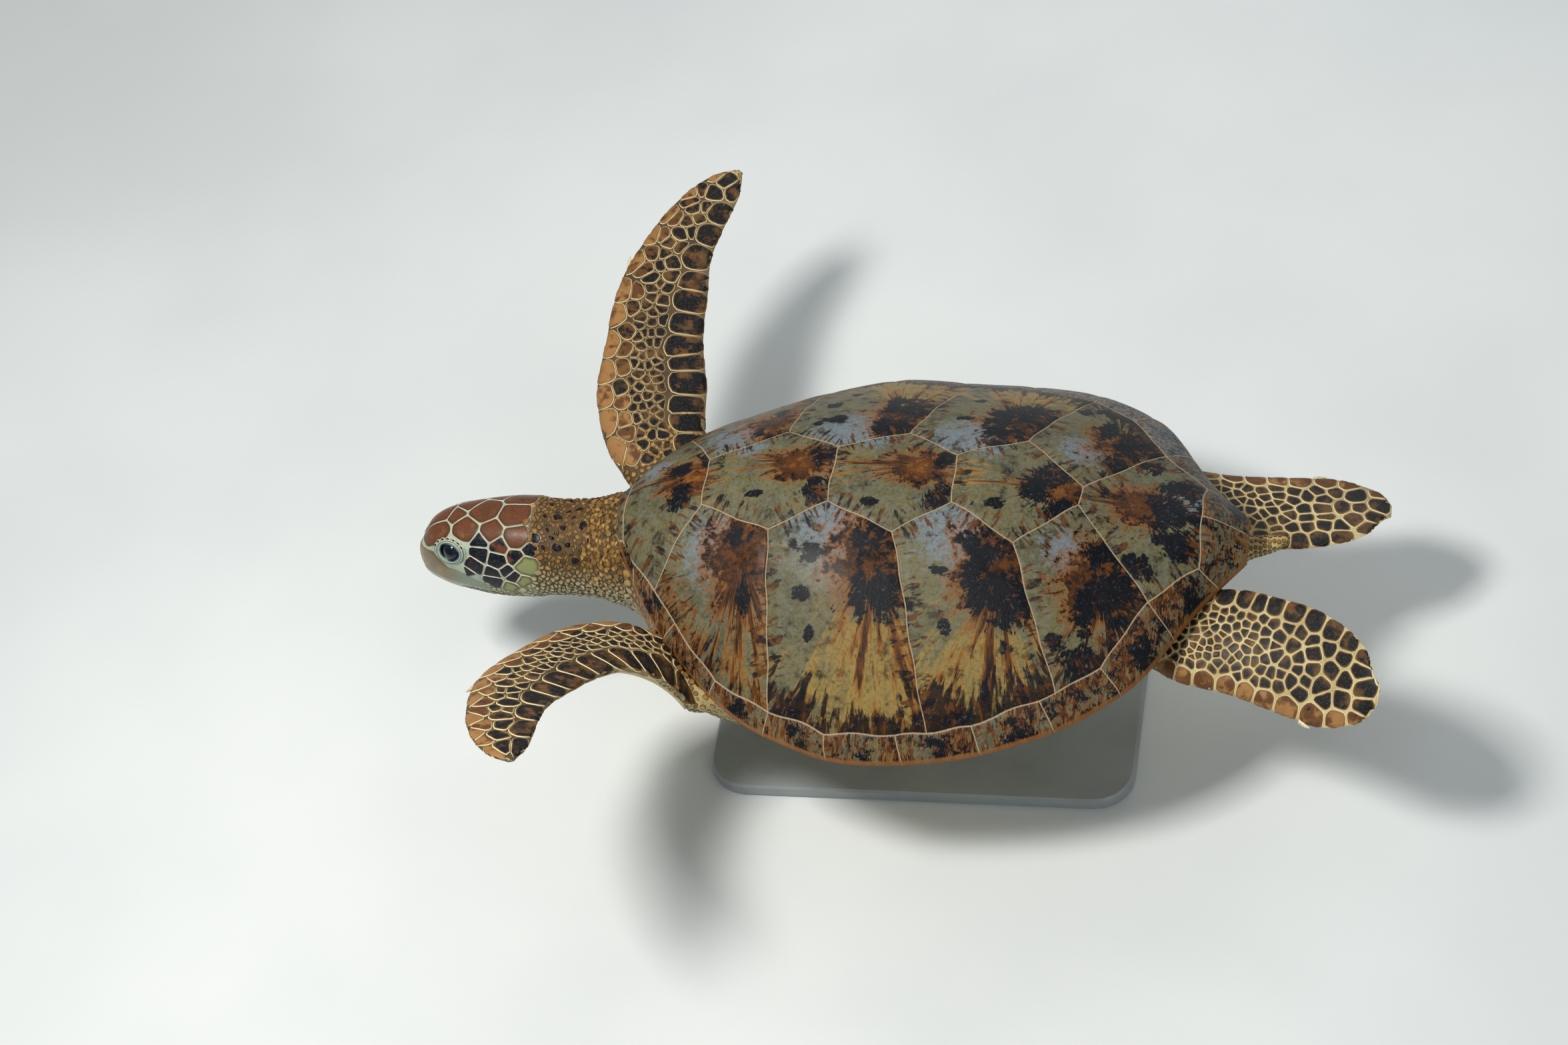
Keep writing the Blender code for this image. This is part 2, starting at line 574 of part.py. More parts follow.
def make_claw(name, frame, reach, blade):
    """Small cone at a blade's front edge, its base sunk in the blade and cut back from it."""
    point, forward, edge, face = frame
    tip_direction = edge * 0.32 + forward * 0.95
    tip_direction /= np.linalg.norm(tip_direction)
    across = np.cross(tip_direction, face)
    bm = bmesh.new()
    bmesh.ops.create_cone(bm, cap_ends=True, segments=10, radius1=.0040, radius2=.0008, depth=.017)
    matrix = Matrix([[face[i], across[i], tip_direction[i]] for i in range(3)])
    center = point + edge * reach + tip_direction * .002
    bmesh.ops.transform(bm, matrix=Matrix.Translation(center) @ matrix.to_4x4(), verts=bm.verts)
    claw = add_object(name, bm, CLAW, smooth_angle=50)
    boolean(claw, blade)


def make_flippers():
    front_rows = [0, .1, .2, .3, .42, .54, .64, .73, .82, .90, .95, .98, 1]
    hind_rows = [0, .15, .3, .45, .6, .74, .84, .91, .96, 1]
    kinds = (("front", FRONT_POSE, front_frames, front_rows, front_ahead, front_behind, front_thick, .62, .07),
             ("hind", HIND_POSE, hind_frames, hind_rows, hind_ahead, hind_behind, hind_thick, .70, .06))
    for kind, poses, walk, rows, ahead, behind, thick, claw_at, reach in kinds:
        for word, pose in poses.items():
            frames = walk(pose)
            name = f"flipper_{kind}_{word}"
            shape = (pose, frames, rows, ahead, behind, thick, reach)
            flipper = add_object(name, loft(flipper_rings(*shape)), SKIN, smooth_angle=50)
            boolean(flipper, TRUNK_CLEARANCE)
            boolean(flipper, CARAPACE_CLEARANCE)
            grown = add_object(name + "_clearance", loft(flipper_rings(*shape)), SKIN, CUTTERS)
            grown.modifiers.new("grow", "DISPLACE").strength = 2 * GAP
            grown.modifiers["grow"].mid_level = 0.0
            frame = frames[int(round(claw_at * (len(frames) - 1)))]
            make_claw(f"claw_{kind}_{word}", frame, float(ahead(claw_at)), grown)


# ---- tail ---------------------------------------------------------------------------
def make_tail():
    """Short tail, bent a little to the turtle's right, whose tip shows behind the shell."""
    stations = [.66, .72, .76, .79, .815, .835, .846]
    radius = smooth_curve([.66, .72, .79, .835, .846], [.036, .029, .018, .010, .005])
    across = smooth_curve([.66, .72, .79, .846], [0, .004, .020, .031])
    height = smooth_curve([.66, .76, .846], [-.032, -.016, -.007])
    rings = [oval_ring(place(x, float(across(x)), float(height(x))), (0, 1, 0), (0, 0, 1),
                       float(radius(x)), float(radius(x)) * .85, float(radius(x)) * .85, 14)
             for x in stations]
    tail = add_object("tail", loft(rings), SKIN, smooth_angle=50)
    boolean(tail, TRUNK_CLEARANCE)
    boolean(tail, CARAPACE_CLEARANCE)


# ---- stand --------------------------------------------------------------------------
def make_stand():
    bm = bmesh.new()
    bmesh.ops.create_cube(bm, size=1)
    bmesh.ops.scale(bm, vec=BASE_SIZE, verts=bm.verts)
    bmesh.ops.translate(bm, vec=(0, 0, BASE_SIZE[2] / 2), verts=bm.verts)
    upright = [e for e in bm.edges if abs(e.verts[0].co.z - e.verts[1].co.z) > .5 * BASE_SIZE[2]]
    bmesh.ops.bevel(bm, geom=upright, offset=.05, segments=5, affect="EDGES", profile=.5)
    base = add_object("stand_base", bm, STEEL, smooth_angle=30)
    chamfer = base.modifiers.new("edge", "BEVEL")
    chamfer.width, chamfer.segments, chamfer.limit_method = .003, 1, "ANGLE"
    chamfer.angle_limit = math.radians(60)
    low = BASE_SIZE[2] + GAP
    high = BODY_Z + float(plastron_keel(.4)) - GAP
    for word, station in (("front", .27), ("rear", .60)):
        profile = [(0, low), (.024, low), (.024, low + .006), (ROD_RADIUS + .003, low + .012),
                   (ROD_RADIUS, low + .016), (ROD_RADIUS, high - .012), (.020, high - .005),
                   (.020, high), (0, high)]
        bm = bmesh.new()
        verts = [bm.verts.new((radius, 0, z)) for radius, z in profile]
        edges = [bm.edges.new(pair) for pair in zip(verts, verts[1:])]
        bmesh.ops.spin(bm, geom=verts + edges, cent=(0, 0, 0), axis=(0, 0, 1), angle=2 * math.pi,
                       steps=14, use_merge=True)
        bmesh.ops.remove_doubles(bm, verts=bm.verts, dist=1e-6)
        x = SHELL_FRONT_X + station * SHELL_LENGTH
        bmesh.ops.translate(bm, verts=bm.verts, vec=(x, 0, 0))
        add_object(f"stand_rod_{word}", bm, STEEL, smooth_angle=40)


# ---- the model ----------------------------------------------------------------------
CARAPACE_CLEARANCE = carapace_clearance()
TRUNK_CLEARANCE = add_object("trunk_clearance", trunk_mesh(grow=2 * GAP), SKIN, CUTTERS)
make_carapace()
make_plastron()
make_trunk()
make_neck()
make_head()
make_flippers()
make_tail()
make_stand()
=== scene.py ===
# Green sea turtle, life size, on a plain display stand: the finish of every visible surface.
# Metres, +Z up; the head points to -X and the turtle's left side is -Y.
import math
from functools import partial

import bpy
import numpy as np
from mathutils import Matrix, Vector
from mathutils.bvhtree import BVHTree


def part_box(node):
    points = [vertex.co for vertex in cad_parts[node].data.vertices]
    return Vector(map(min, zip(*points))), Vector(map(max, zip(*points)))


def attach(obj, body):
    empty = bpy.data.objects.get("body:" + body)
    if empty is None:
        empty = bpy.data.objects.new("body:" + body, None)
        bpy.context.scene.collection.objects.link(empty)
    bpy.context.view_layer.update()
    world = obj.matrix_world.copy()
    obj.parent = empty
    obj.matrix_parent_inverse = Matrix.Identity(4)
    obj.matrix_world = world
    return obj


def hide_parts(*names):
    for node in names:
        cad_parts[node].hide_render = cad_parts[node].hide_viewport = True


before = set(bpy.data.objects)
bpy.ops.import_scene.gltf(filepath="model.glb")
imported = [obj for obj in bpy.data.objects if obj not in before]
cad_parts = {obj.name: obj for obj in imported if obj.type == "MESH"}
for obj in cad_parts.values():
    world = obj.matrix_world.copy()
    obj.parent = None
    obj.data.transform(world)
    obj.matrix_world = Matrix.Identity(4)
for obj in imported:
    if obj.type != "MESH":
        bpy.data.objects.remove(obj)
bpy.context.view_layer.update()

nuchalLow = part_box("carapace_nuchal")[0]
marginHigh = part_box("carapace_marginals_left")[1]
body = {
    "shellFront": nuchalLow.x,                       # nuchal edge
    "shellLength": marginHigh.x - nuchalLow.x,
    "rimPlane": 0.28,                                # height of the rim plane
    "domeRise": 0.2314,                              # share of the shell length
    "shellThickness": 0.009,
    "plastronThickness": 0.007,
    "coatDepth": 0.0009,                             # skin to scale top
    "headLength": 0.178,
    "snoutX": -0.287,                                # from the nuchal edge
    "headAxis": -0.018,                              # from the rim plane
    "headRoll": math.radians(5),
}
shellLength = body["shellLength"]
random = np.random.default_rng(7)


# Curves and mesh making
def curveThrough(stations, values):
    # monotone cubic through the stations: slopes are weighted harmonic means
    x, y = np.array(stations, float), np.array(values, float)
    h, delta = np.diff(x), np.diff(y) / np.diff(x)
    slope = np.zeros(len(x))
    slope[0], slope[-1] = delta[0], delta[-1]
    for i in range(1, len(x) - 1):
        if delta[i - 1] * delta[i] > 0:
            w1, w2 = 2 * h[i] + h[i - 1], h[i] + 2 * h[i - 1]
            slope[i] = (w1 + w2) / (w1 / delta[i - 1] + w2 / delta[i])

    def value(at):
        at = np.clip(np.asarray(at, float), x[0], x[-1])
        i = np.clip(np.searchsorted(x, at, side="right") - 1, 0, len(x) - 2)
        u = (at - x[i]) / h[i]
        return (y[i] * (1 + 2 * u) * (1 - u) ** 2 + y[i + 1] * u * u * (3 - 2 * u)
                + slope[i] * h[i] * u * (1 - u) ** 2 - slope[i + 1] * h[i] * u * u * (1 - u))

    return value


def place(x, y, z):
    # shell coordinates, from the nuchal edge and the rim plane, to the part's frame
    x, y, z = np.broadcast_arrays(x, y, z)
    return np.stack([x + body["shellFront"], y, z + body["rimPlane"]], axis=-1)


def ease(low, high, value):
    # smooth step from 0 at low to 1 at high
    u = np.clip((value - low) / (high - low), 0, 1)
    return u * u * (3 - 2 * u)


def turns(count):
    # angles of a whole turn in equal steps
    return np.linspace(0, 2 * np.pi, count, endpoint=False)


def unit(vectors):
    return vectors / np.maximum(np.linalg.norm(vectors, axis=-1, keepdims=True), 1e-12)


def makePiece(name, points, quads, tris, material, attributes=None, uv=None, smooth=True):
    # one mesh from arrays; attributes are per point, uv is per point under its map's name
    points = np.asarray(points, float).reshape(-1, 3)
    quads = np.asarray(quads, int).reshape(-1, 4)
    tris = np.asarray(tris, int).reshape(-1, 3)
    corners = np.concatenate([quads.ravel(), tris.ravel()])
    starts = np.concatenate([np.arange(len(quads)) * 4, 4 * len(quads) + np.arange(len(tris)) * 3])
    mesh = bpy.data.meshes.new(name)
    mesh.vertices.add(len(points))
    mesh.vertices.foreach_set("co", points.ravel())
    mesh.loops.add(len(corners))
    mesh.loops.foreach_set("vertex_index", corners)
    mesh.polygons.add(len(starts))
    mesh.polygons.foreach_set("loop_start", starts)
    mesh.update(calc_edges=True)
    mesh.validate()
    for key, values in (attributes or {}).items():
        values = np.asarray(values, float)
        kind, slot = ("FLOAT_VECTOR", "vector") if values.ndim == 2 else ("FLOAT", "value")
        mesh.attributes.new(key, kind, "POINT").data.foreach_set(slot, values.ravel())
    if uv:
        key, values = uv
        mesh.uv_layers.new(name=key).data.foreach_set("uv", values[corners].ravel())
    if smooth:
        mesh.shade_smooth()
    mesh.materials.append(material)
    piece = bpy.data.objects.new(name, mesh)
    bpy.context.scene.collection.objects.link(piece)
    return piece


def readMesh(items, key, width=1, kind=float):
    # one property of a mesh's points, edges or faces as an array
    values = np.empty(len(items) * width, kind)
    items.foreach_get(key, values)
    return values.reshape(-1, width) if width > 1 else values


def settle(piece, slot, *replaced):
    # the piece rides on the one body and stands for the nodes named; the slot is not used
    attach(piece, "root")
    if replaced:
        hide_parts(*replaced)
    return piece


def gridQuads(rows, columns, closed=False, first=0):
    # faces of a grid of points, numbered row by row
    r, c = np.meshgrid(np.arange(rows - 1), np.arange(columns if closed else columns - 1), indexing="ij")
    n = (c + 1) % columns
    faces = np.stack([r * columns + c, r * columns + n, (r + 1) * columns + n, (r + 1) * columns + c], -1)
    return faces.reshape(-1, 4) + first


def fan(ring, hub, turn=1):
    # triangles from a closed ring of point numbers to one hub
    ring = np.asarray(ring)[::turn]
    return np.stack([ring, np.roll(ring, -1), np.full(len(ring), hub)], -1)


def outwards(points, quads, tris):
    # turns every face round where the closed shape's volume comes out negative
    p = points.reshape(-1, 3)
    volume = 0.0
    for part in (quads[:, [0, 1, 2]], quads[:, [0, 2, 3]], tris):
        a, b, c = (p[part[:, k]] for k in range(3))
        volume += np.einsum("ij,ij->", a, np.cross(b, c))
    return (quads, tris) if volume > 0 else (quads[:, ::-1], tris[:, ::-1])


def loftMesh(rings):
    # arrays of a closed tube through rings of points, with a pole at each end
    rows, columns = rings.shape[:2]
    points = np.concatenate([rings.reshape(-1, 3), rings[[0, -1]].mean(axis=1)])
    last = (rows - 1) * columns
    tris = np.concatenate([fan(np.arange(columns), rows * columns, -1),
                           fan(last + np.arange(columns), rows * columns + 1)])
    return points, *outwards(points, gridQuads(rows, columns, closed=True), tris)


# Materials
def tint(code):
    # sRGB hex to the linear colour that the nodes use
    channels = np.array([int(code[i:i + 2], 16) / 255 for i in (1, 3, 5)])
    linear = np.where(channels <= .04045, channels / 12.92, ((channels + .055) / 1.055) ** 2.4)
    return (*linear, 1.0)


# short word: Blender's node, its usual settings, the inputs in the order given, the output used
nodeKinds = {
    "place": ("ShaderNodeTexCoord", {}, (), "Object"),
    "read": ("ShaderNodeAttribute", {}, (), "Fac"),
    "readVector": ("ShaderNodeAttribute", {}, (), "Vector"),
    "split": ("ShaderNodeSeparateXYZ", {}, (0,), None),
    "stretch": ("ShaderNodeMapping", {}, ("Vector", "Scale", "Location"), 0),
    "noise": ("ShaderNodeTexNoise", {}, ("Vector", "Scale", "Detail", "Roughness"), 0),
    "less": ("ShaderNodeMath", {"operation": "SUBTRACT"}, (0, 1), 0),
    "times": ("ShaderNodeMath", {"operation": "MULTIPLY"}, (0, 1), 0),
    "over": ("ShaderNodeMath", {"operation": "DIVIDE"}, (0, 1), 0),
    "timesPlus": ("ShaderNodeMath", {"operation": "MULTIPLY_ADD"}, (0, 1, 2), 0),
    "step": ("ShaderNodeMapRange", {"interpolation_type": "SMOOTHSTEP"},
             ("Value", "From Min", "From Max", "To Min", "To Max"), 0),
    "mix": ("ShaderNodeMix", {"data_type": "RGBA"}, (0, 6, 7), 2),
    "mixValue": ("ShaderNodeMix", {"data_type": "FLOAT"}, (0, 2, 3), 0),
    "bump": ("ShaderNodeBump", {}, ("Height", "Distance", "Normal"), 0),
}


def addNode(tree, word, *inputs, **settings):
    # adds a node with its settings, links or fills its inputs, and returns the output used
    kind, usual, sockets, output = nodeKinds[word]
    node = tree.nodes.new(kind)
    for key, value in {**usual, **settings}.items():
        setattr(node, key, value)
    for key, value in zip(sockets, inputs):
        if isinstance(value, bpy.types.NodeSocket):
            tree.links.new(value, node.inputs[key])
        else:
            node.inputs[key].default_value = tint(value) if isinstance(value, str) else value
    return node.outputs if output is None else node.outputs[output]


def newMaterial(name, **shaderInputs):
    # a Principled shader whose constants sit on its own sockets; add puts nodes in its tree
    material = bpy.data.materials.new(name)
    material.use_nodes = True
    tree = material.node_tree
    shader = tree.nodes["Principled BSDF"]
    for key, value in shaderInputs.items():
        shader.inputs[key.replace("_", " ")].default_value = value

    def finish(**sockets):
        for key, value in sockets.items():
            tree.links.new(value, shader.inputs[key.replace("_", " ")])
        return material

    return partial(addNode, tree), finish


def ragged(add, field, noise, strength, low, high, most=1.0):
    # a field whose border is torn by noise: 0 below low, eased up to most at high
    torn = add("timesPlus", add("less", noise, .5), strength, field)
    return add("step", torn, low, high, 0.0, most)


shellColors = {
    "olive": "#514d34", "moss": "#69613c", "stone": "#67695b", "blueGrey": "#6e797f", "tan": "#947a3c",
    "rust": "#57300f", "umber": "#20130d", "amber": "#84501c", "ink": "#04060c", "slate": "#27303f",
    "seam": "#b49d80", "worn": "#868c8b", "wornDark": "#3f4748", "lip": "#8f5b2b", "stain": "#2b2514",
}


def scuteHorn():
    # keratin of the carapace, grown in thin layers: a low sheen over depth of colour, worn dull in small
    # spots, with a painted grey sheen over the far side's rear marginals, and rays that fan out from where
    # each scute began to grow
    add, finish = newMaterial("carapaceKeratin", IOR=1.45, Specular_IOR_Level=.18, Coat_Weight=.02,
                              Coat_Roughness=.15)
    c = shellColors
    where = add("place")
    rays, border, marks = (add("readVector", attribute_name=n) for n in ("rays", "border", "marks"))
    rust, dark, tan = add("split", marks)
    edge, rim, wear, cool, bars, glow, fan = (add("read", attribute_name=n) for n in
                                              ("edge", "rim", "wear", "cool", "bars", "glow", "fan"))
    streak = add("noise", add("stretch", rays, (1, 1, 9)), 1.0, 4.0, .62)     # 5 degrees
    hair = add("noise", add("stretch", rays, (1, 1, 14), (40, 0, 0)), 2.6, 3.0, .6)
    dash = add("noise", border, 1.0, 3.0, .6)                                 # 8 mm across a dash
    cloud = add("noise", where, 1 / .060, 4.0, .6)                            # 60 mm drifts
    mottle = add("noise", where, 1 / .020, 6.0, .68)                          # 20 mm clouds
    crust = add("noise", add("stretch", where, (1, 1, 1), (9, 0, 0)), 1 / .009, 6.0, .75)   # 9 mm
    grain = add("noise", where, 1 / .0042, 5.0, .75)                          # 4 mm scuffs
    pores = add("noise", where, 1 / .0016, 3.0, .6)                           # 1.6 mm pores
    blotch = add("mixValue", .55, crust, mottle)
    drift = add("mixValue", fan, blotch, streak)
    brown = add("mix", add("step", add("mixValue", fan, crust, hair), .38, .58), c["rust"], c["umber"])
    night = add("mix", add("step", grain, .52, .66, 0.0, .7), c["ink"], c["slate"])
    barred = add("mix", add("step", mottle, .44, .56), c["umber"], night)
    dashed = add("mix", add("step", mottle, .46, .54), c["rust"], night)
    sheenGrey = add("mix", add("step", grain, .4, .6), c["worn"], c["wornDark"])
    near = add("step", edge, 15.0, 34.0, .56, 0.0)                            # mm from the seam
    flame = ragged(add, add("times", tan, .60), hair, 2.2, .64, .84, .7)
    frayed = add("timesPlus", add("less", grain, .5), 1.2, edge)
    base = add("mix", add("step", cloud, .40, .60), c["olive"], c["moss"])
    for share, color in (
            (add("step", crust, .36, .66, 0.0, .85), c["stone"]),
            (ragged(add, cool, crust, 1.6, .40, .90), c["blueGrey"]),
            (ragged(add, tan, streak, 1.4, .38, .72, .8), c["tan"]),
            (ragged(add, .34, mottle, 2.1, .38, .68, .85), c["stain"]),
            (add("step", grain, .54, .34, 0.0, .45), c["stain"]),
            (ragged(add, rust, drift, 2.6, .36, .58, .75), c["amber"]),
            (ragged(add, rust, drift, 2.6, .50, .70, .94), brown),
            (ragged(add, glow, crust, 1.8, .35, .80), c["amber"]),
            (add("times", flame, fan), c["rust"]),
            (ragged(add, dark, add("mixValue", .75, hair, blotch), 4.2, .44, .60), night),
            (ragged(add, bars, add("mixValue", .5, streak, hair), 2.8, .48, .66, .95), barred),
            (ragged(add, near, dash, 2.4, .60, .74, .9), dashed),
            (add("step", grain, .62, .70, 0.0, .40), c["worn"]),
            # painted sheen over the far side's rear marginals, drawn as scuffed grey
            (add("times", wear, add("step", crust, .36, .56)), sheenGrey),
            (add("step", frayed, .35, .95, .85, 0.0), c["seam"]),
            (add("step", rim, .6, 2.4, .75, 0.0), c["lip"])):
        base = add("mix", share, base, color)
    relief = add("bump", hair, .0005, add("bump", crust, .0007, add("bump", pores, .0002)))
    return finish(Base_Color=base, Roughness=add("timesPlus", grain, .40, .26), Normal=relief)


def plastronHorn():
    # thick pale keratin of the belly plates, smooth and waxy, stained along its growth lines
    add, finish = newMaterial("plastronKeratin", IOR=1.55, Subsurface_Weight=.08,
                              Subsurface_Radius=(.004, .0025, .0012))
    where = add("place")
    cloud = add("noise", where, 1 / .045, 4.0, .5)                            # 45 mm clouds
    grain = add("noise", add("stretch", where, (1, .35, 1)), 1 / .004, 4.0, .6)   # 4 mm grain
    edge = add("read", attribute_name="edge")
    base = add("mix", add("step", cloud, .35, .7), "#dccf9c", "#c3ad6c")
    base = add("mix", add("step", grain, .5, .8, 0.0, .35), base, "#a98f5a")
    base = add("mix", add("step", edge, .5, 2.6, .7, 0.0), base, "#8a7a52")
    return finish(Base_Color=base, Roughness=add("step", grain, .3, .8, .38, .58),
                  Normal=add("bump", grain, .0003))


def scaleHorn(name, dark, brown, pale, border, roughness=.42, patchy=1.3, pallid="#b9bd9a",
              fringe="#6a4a26", fringeWidth=2.4, fringeTop=2.0):
    # thin horn of the skin's scales: satin, dark pigment in the middle and a clear pale border
    add, finish = newMaterial(name, IOR=1.45, Specular_IOR_Level=.22, Coat_Weight=.03, Coat_Roughness=.2)
    where = add("place")
    cloud = add("noise", where, 1 / .016, 3.0, .55)                           # 16 mm patches
    grain = add("noise", where, 1 / .0022, 3.0, .6)                           # 2 mm scuffs
    drift = add("noise", add("stretch", where, (1, 1, 1), (3, 0, 0)), 1 / .030, 4.0, .6)    # 30 mm
    tone, edge, line, pallor = (add("read", attribute_name=n)
                                for n in ("tone", "edge", "line", "pallor"))
    uneven = add("less", cloud, .5)
    patch = add("timesPlus", uneven, patchy, tone)
    kept = add("step", tone, fringeTop, fringeTop + .1, 1.0, 0.0)
    outer = add("less", add("timesPlus", uneven, 4.0, edge), add("times", line, 1.2))
    base = add("mix", add("step", patch, .10, .32), pale, brown)
    for share, color in (
            (add("step", patch, .50, .62), dark),
            (add("times", kept, add("step", drift, .50, .68, 0.0, .55)), fringe),
            (pallor, pallid),
            (add("step", grain, .45, .8, 0.0, .30), "#7d6f58"),
            (add("times", kept, add("step", outer, .3, fringeWidth, .75, 0.0)), fringe),
            (add("step", add("over", edge, line), .80, 1.25, 1.0, 0.0), border)):
        base = add("mix", share, base, color)
    return finish(Base_Color=base, Normal=add("bump", grain, .00015),
                  Roughness=add("step", grain, .3, .8, roughness - .07, roughness + .12))


def softSkin():
    # leathery skin between the scales: matt and finely creased, with painted shade in its creases and in the
    # folds of the lids
    add, finish = newMaterial("turtleSkin", IOR=1.42, Roughness=.62, Subsurface_Weight=.05,
                              Subsurface_Radius=(.003, .0015, .0008))
    where = add("place")
    clouded = add("step", add("noise", where, 1 / .05, 3.0, .5), .38, .62)    # 50 mm clouds
    crease = add("noise", add("stretch", where, (2.2, 1, 1)), 1 / .004, 4.0, .6)    # 4 mm creases
    base = add("mix", clouded, "#c9bb8c", "#b09a66")
    for key, light, deep in (("warm", "#564226", "#463621"), ("under", "#8b8a6c", "#74755c"),
                             ("cheek", "#a9b6a2", "#92a496")):
        base = add("mix", add("read", attribute_name=key), base, add("mix", clouded, light, deep))
    # painted shade in the fine creases
    base = add("mix", add("step", crease, .52, .70, 0.0, .4), base, "#3a3524")
    # painted shade between the lids' wrinkles and along their slit
    base = add("mix", add("times", add("read", attribute_name="fold"), .9), base, "#1f2a2b")
    return finish(Base_Color=base, Normal=add("bump", crease, .0006))


def beakHorn():
    # jaw sheath of solid horn: semi-gloss, streaked from the lip upwards
    add, finish = newMaterial("beakKeratin", IOR=1.5, Coat_Weight=.1, Coat_Roughness=.25)
    where = add("place")
    cloud = add("noise", where, 1 / .02, 3.0, .5)                             # 20 mm clouds
    grain = add("noise", add("stretch", where, (1, 1, .35)), 1 / .003, 4.0, .6)     # 3 mm streaks
    rear, lip, pit = (add("read", attribute_name=n) for n in ("rear", "lip", "pit"))
    base = add("mix", add("step", cloud, .35, .65), "#7c643a", "#635336")
    for share, color in ((rear, add("mix", cloud, "#5f7367", "#77846b")),
                         (lip, add("mix", cloud, "#c9c6a2", "#a7b8a0")),
                         # pit: the nostrils painted near-black, painted shade inside them
                         (add("step", grain, .5, .8, 0.0, .35), "#5d523c"), (pit, "#15130f")):
        base = add("mix", share, base, color)
    return finish(Base_Color=base, Roughness=add("step", grain, .3, .8, .30, .46),
                  Normal=add("bump", grain, .0003))


def eyeWet():
    # wet cornea over a dark iris: a mirror-like film, blue-black beneath
    add, finish = newMaterial("eyeCornea", IOR=1.376, Roughness=.10, Coat_Weight=.25, Coat_Roughness=.02)
    angle = add("read", attribute_name="angle")
    fibre = add("noise", add("place"), 1 / .0012, 4.0, .5)                    # 1.2 mm fibres
    iris = add("mix", add("step", fibre, .35, .7), "#0e1b33", "#0a1424")
    base = add("mix", add("step", angle, .34, .42), "#04070e", iris)
    return finish(Base_Color=add("mix", add("step", angle, .95, 1.10), base, "#12203a"))


def clawHorn():
    # claw: translucent pale horn, glossy at the tip
    add, finish = newMaterial("clawKeratin", IOR=1.55, Roughness=.3, Coat_Weight=.2)
    grain = add("noise", add("place"), 1 / .003, 3.0, .5)                     # 3 mm streaks
    return finish(Base_Color=add("mix", add("step", grain, .4, .7), "#d8cfae", "#b5a27a"),
                  Normal=add("bump", grain, .0002))


def coatedSteel():
    # mild steel, powder coated satin grey: an even orange-peel skin
    add, finish = newMaterial("powderCoatedSteel", Roughness=.42, Coat_Weight=.15, Coat_Roughness=.3)
    cloud = add("step", add("noise", add("place"), 1 / .08, 2.0, .5), .3, .7)     # 80 mm clouds
    peel = add("noise", add("place"), 1 / .0012, 2.0, .5)                         # 1.2 mm peel
    return finish(Base_Color=add("mix", cloud, "#8c9193", "#979c9e"), Normal=add("bump", peel, .00012))


def paintedFloor():
    # painted pale screed, faintly uneven
    add, finish = newMaterial("paintedScreed", Roughness=.75)
    cloud = add("step", add("noise", add("place"), 1 / .6, 3.0, .5), .3, .7)      # 0.6 m drifts
    return finish(Base_Color=add("mix", cloud, "#dfe3e3", "#d6dbdc"))


horn, belly, skinLook, beakLook = scuteHorn(), plastronHorn(), softSkin(), beakHorn()
eyeLook, clawLook, metal, floorLook = eyeWet(), clawHorn(), coatedSteel(), paintedFloor()
flipperScale = scaleHorn("flipperScale", "#060a11", "#5a371d", "#9a7042", "#dccfa2", .52, fringe="#7d5a2e")
flipperUnder = scaleHorn("flipperUnderScale", "#4a4a40", "#b39b66", "#c9ba8a", "#d8cda6", fringe="#b39b66")
headScale = scaleHorn("headScale", "#07101e", "#633924", "#775a31", "#d0cab2", .36, .9, "#87925f",
                      "#453222", 6.0, .5)
smallScale = scaleHorn("skinScale", "#1c1a18", "#86602e", "#b28d50", "#3a2d1b", .5, .5, fringe="#6b5027")
dotScale = scaleHorn("neckSpotScale", "#060b14", "#060b14", "#0d1016", "#a0672f", .45, .3,
                     fringe="#060b14")
print("materials made")


# Carapace: a height over the plan
shellStations = [0, .06, .15, .28, .42, .56, .70, .84, .94, 1]
rimHalfWidth = curveThrough(shellStations, [.044, .160, .266, .354, .393, .382, .350, .266, .115, .042])
domeHeight = curveThrough(shellStations, [.112, .373, .686, .920, .971, .939, .733, .421, .293, .06])
rimHeight = curveThrough([0, .25, .5, .75, 1], [.067, -.03, -.043, -.01, .036])


def shellPlan(s, t):
    # plan place of station s and share t of the half width
    s, t = np.broadcast_arrays(np.asarray(s, float), np.asarray(t, float))
    return np.stack([s * shellLength, t * rimHalfWidth(s) * shellLength], -1)


def shellHeight(plan):
    # rim height plus the dome, which falls off as 1 - |t| to the power 1.8
    s = plan[..., 0] / shellLength
    t = np.clip(np.abs(plan[..., 1]) / (rimHalfWidth(s) * shellLength), 0, 1)
    return (rimHeight(s) + body["domeRise"] * domeHeight(s) * (1 - t ** 1.8)) * shellLength


def waver(plan):
    # the seams wander by about a millimetre and a half
    x, y = plan[..., 0] * 1000, plan[..., 1] * 1000
    dx = .9 * np.sin(y / 9.1 + .6) + .7 * np.sin(y / 21 + x / 47)
    dy = .9 * np.sin(x / 10.3) + .7 * np.sin(x / 23 - y / 41 + 2)
    return plan + np.stack([dx, dy], -1) / 1000


def insetOutline(outline, distance):
    # each side of a plan outline moved inwards, with mitred corners
    ahead = unit(np.roll(outline, -1, axis=0) - outline)
    a, b = outline, np.roll(outline, -1, axis=0)
    turn = np.sign(np.sum(a[:, 0] * b[:, 1] - b[:, 0] * a[:, 1]))
    inward = np.stack([-ahead[:, 1], ahead[:, 0]], 1) * turn
    mitre = inward + np.roll(inward, 1, axis=0)
    mitre /= np.maximum(np.sum(mitre * inward, axis=1), .35)[:, None]
    return outline + mitre * distance


def alongOutline(outline, counts):
    # points along a closed outline, counts[i] of them from corner i on
    parts = []
    for i, count in enumerate(counts):
        share = np.linspace(0, 1, count, endpoint=False)[:, None]
        parts.append(outline[i] * (1 - share) + outline[(i + 1) % len(outline)] * share)
    return np.concatenate(parts)


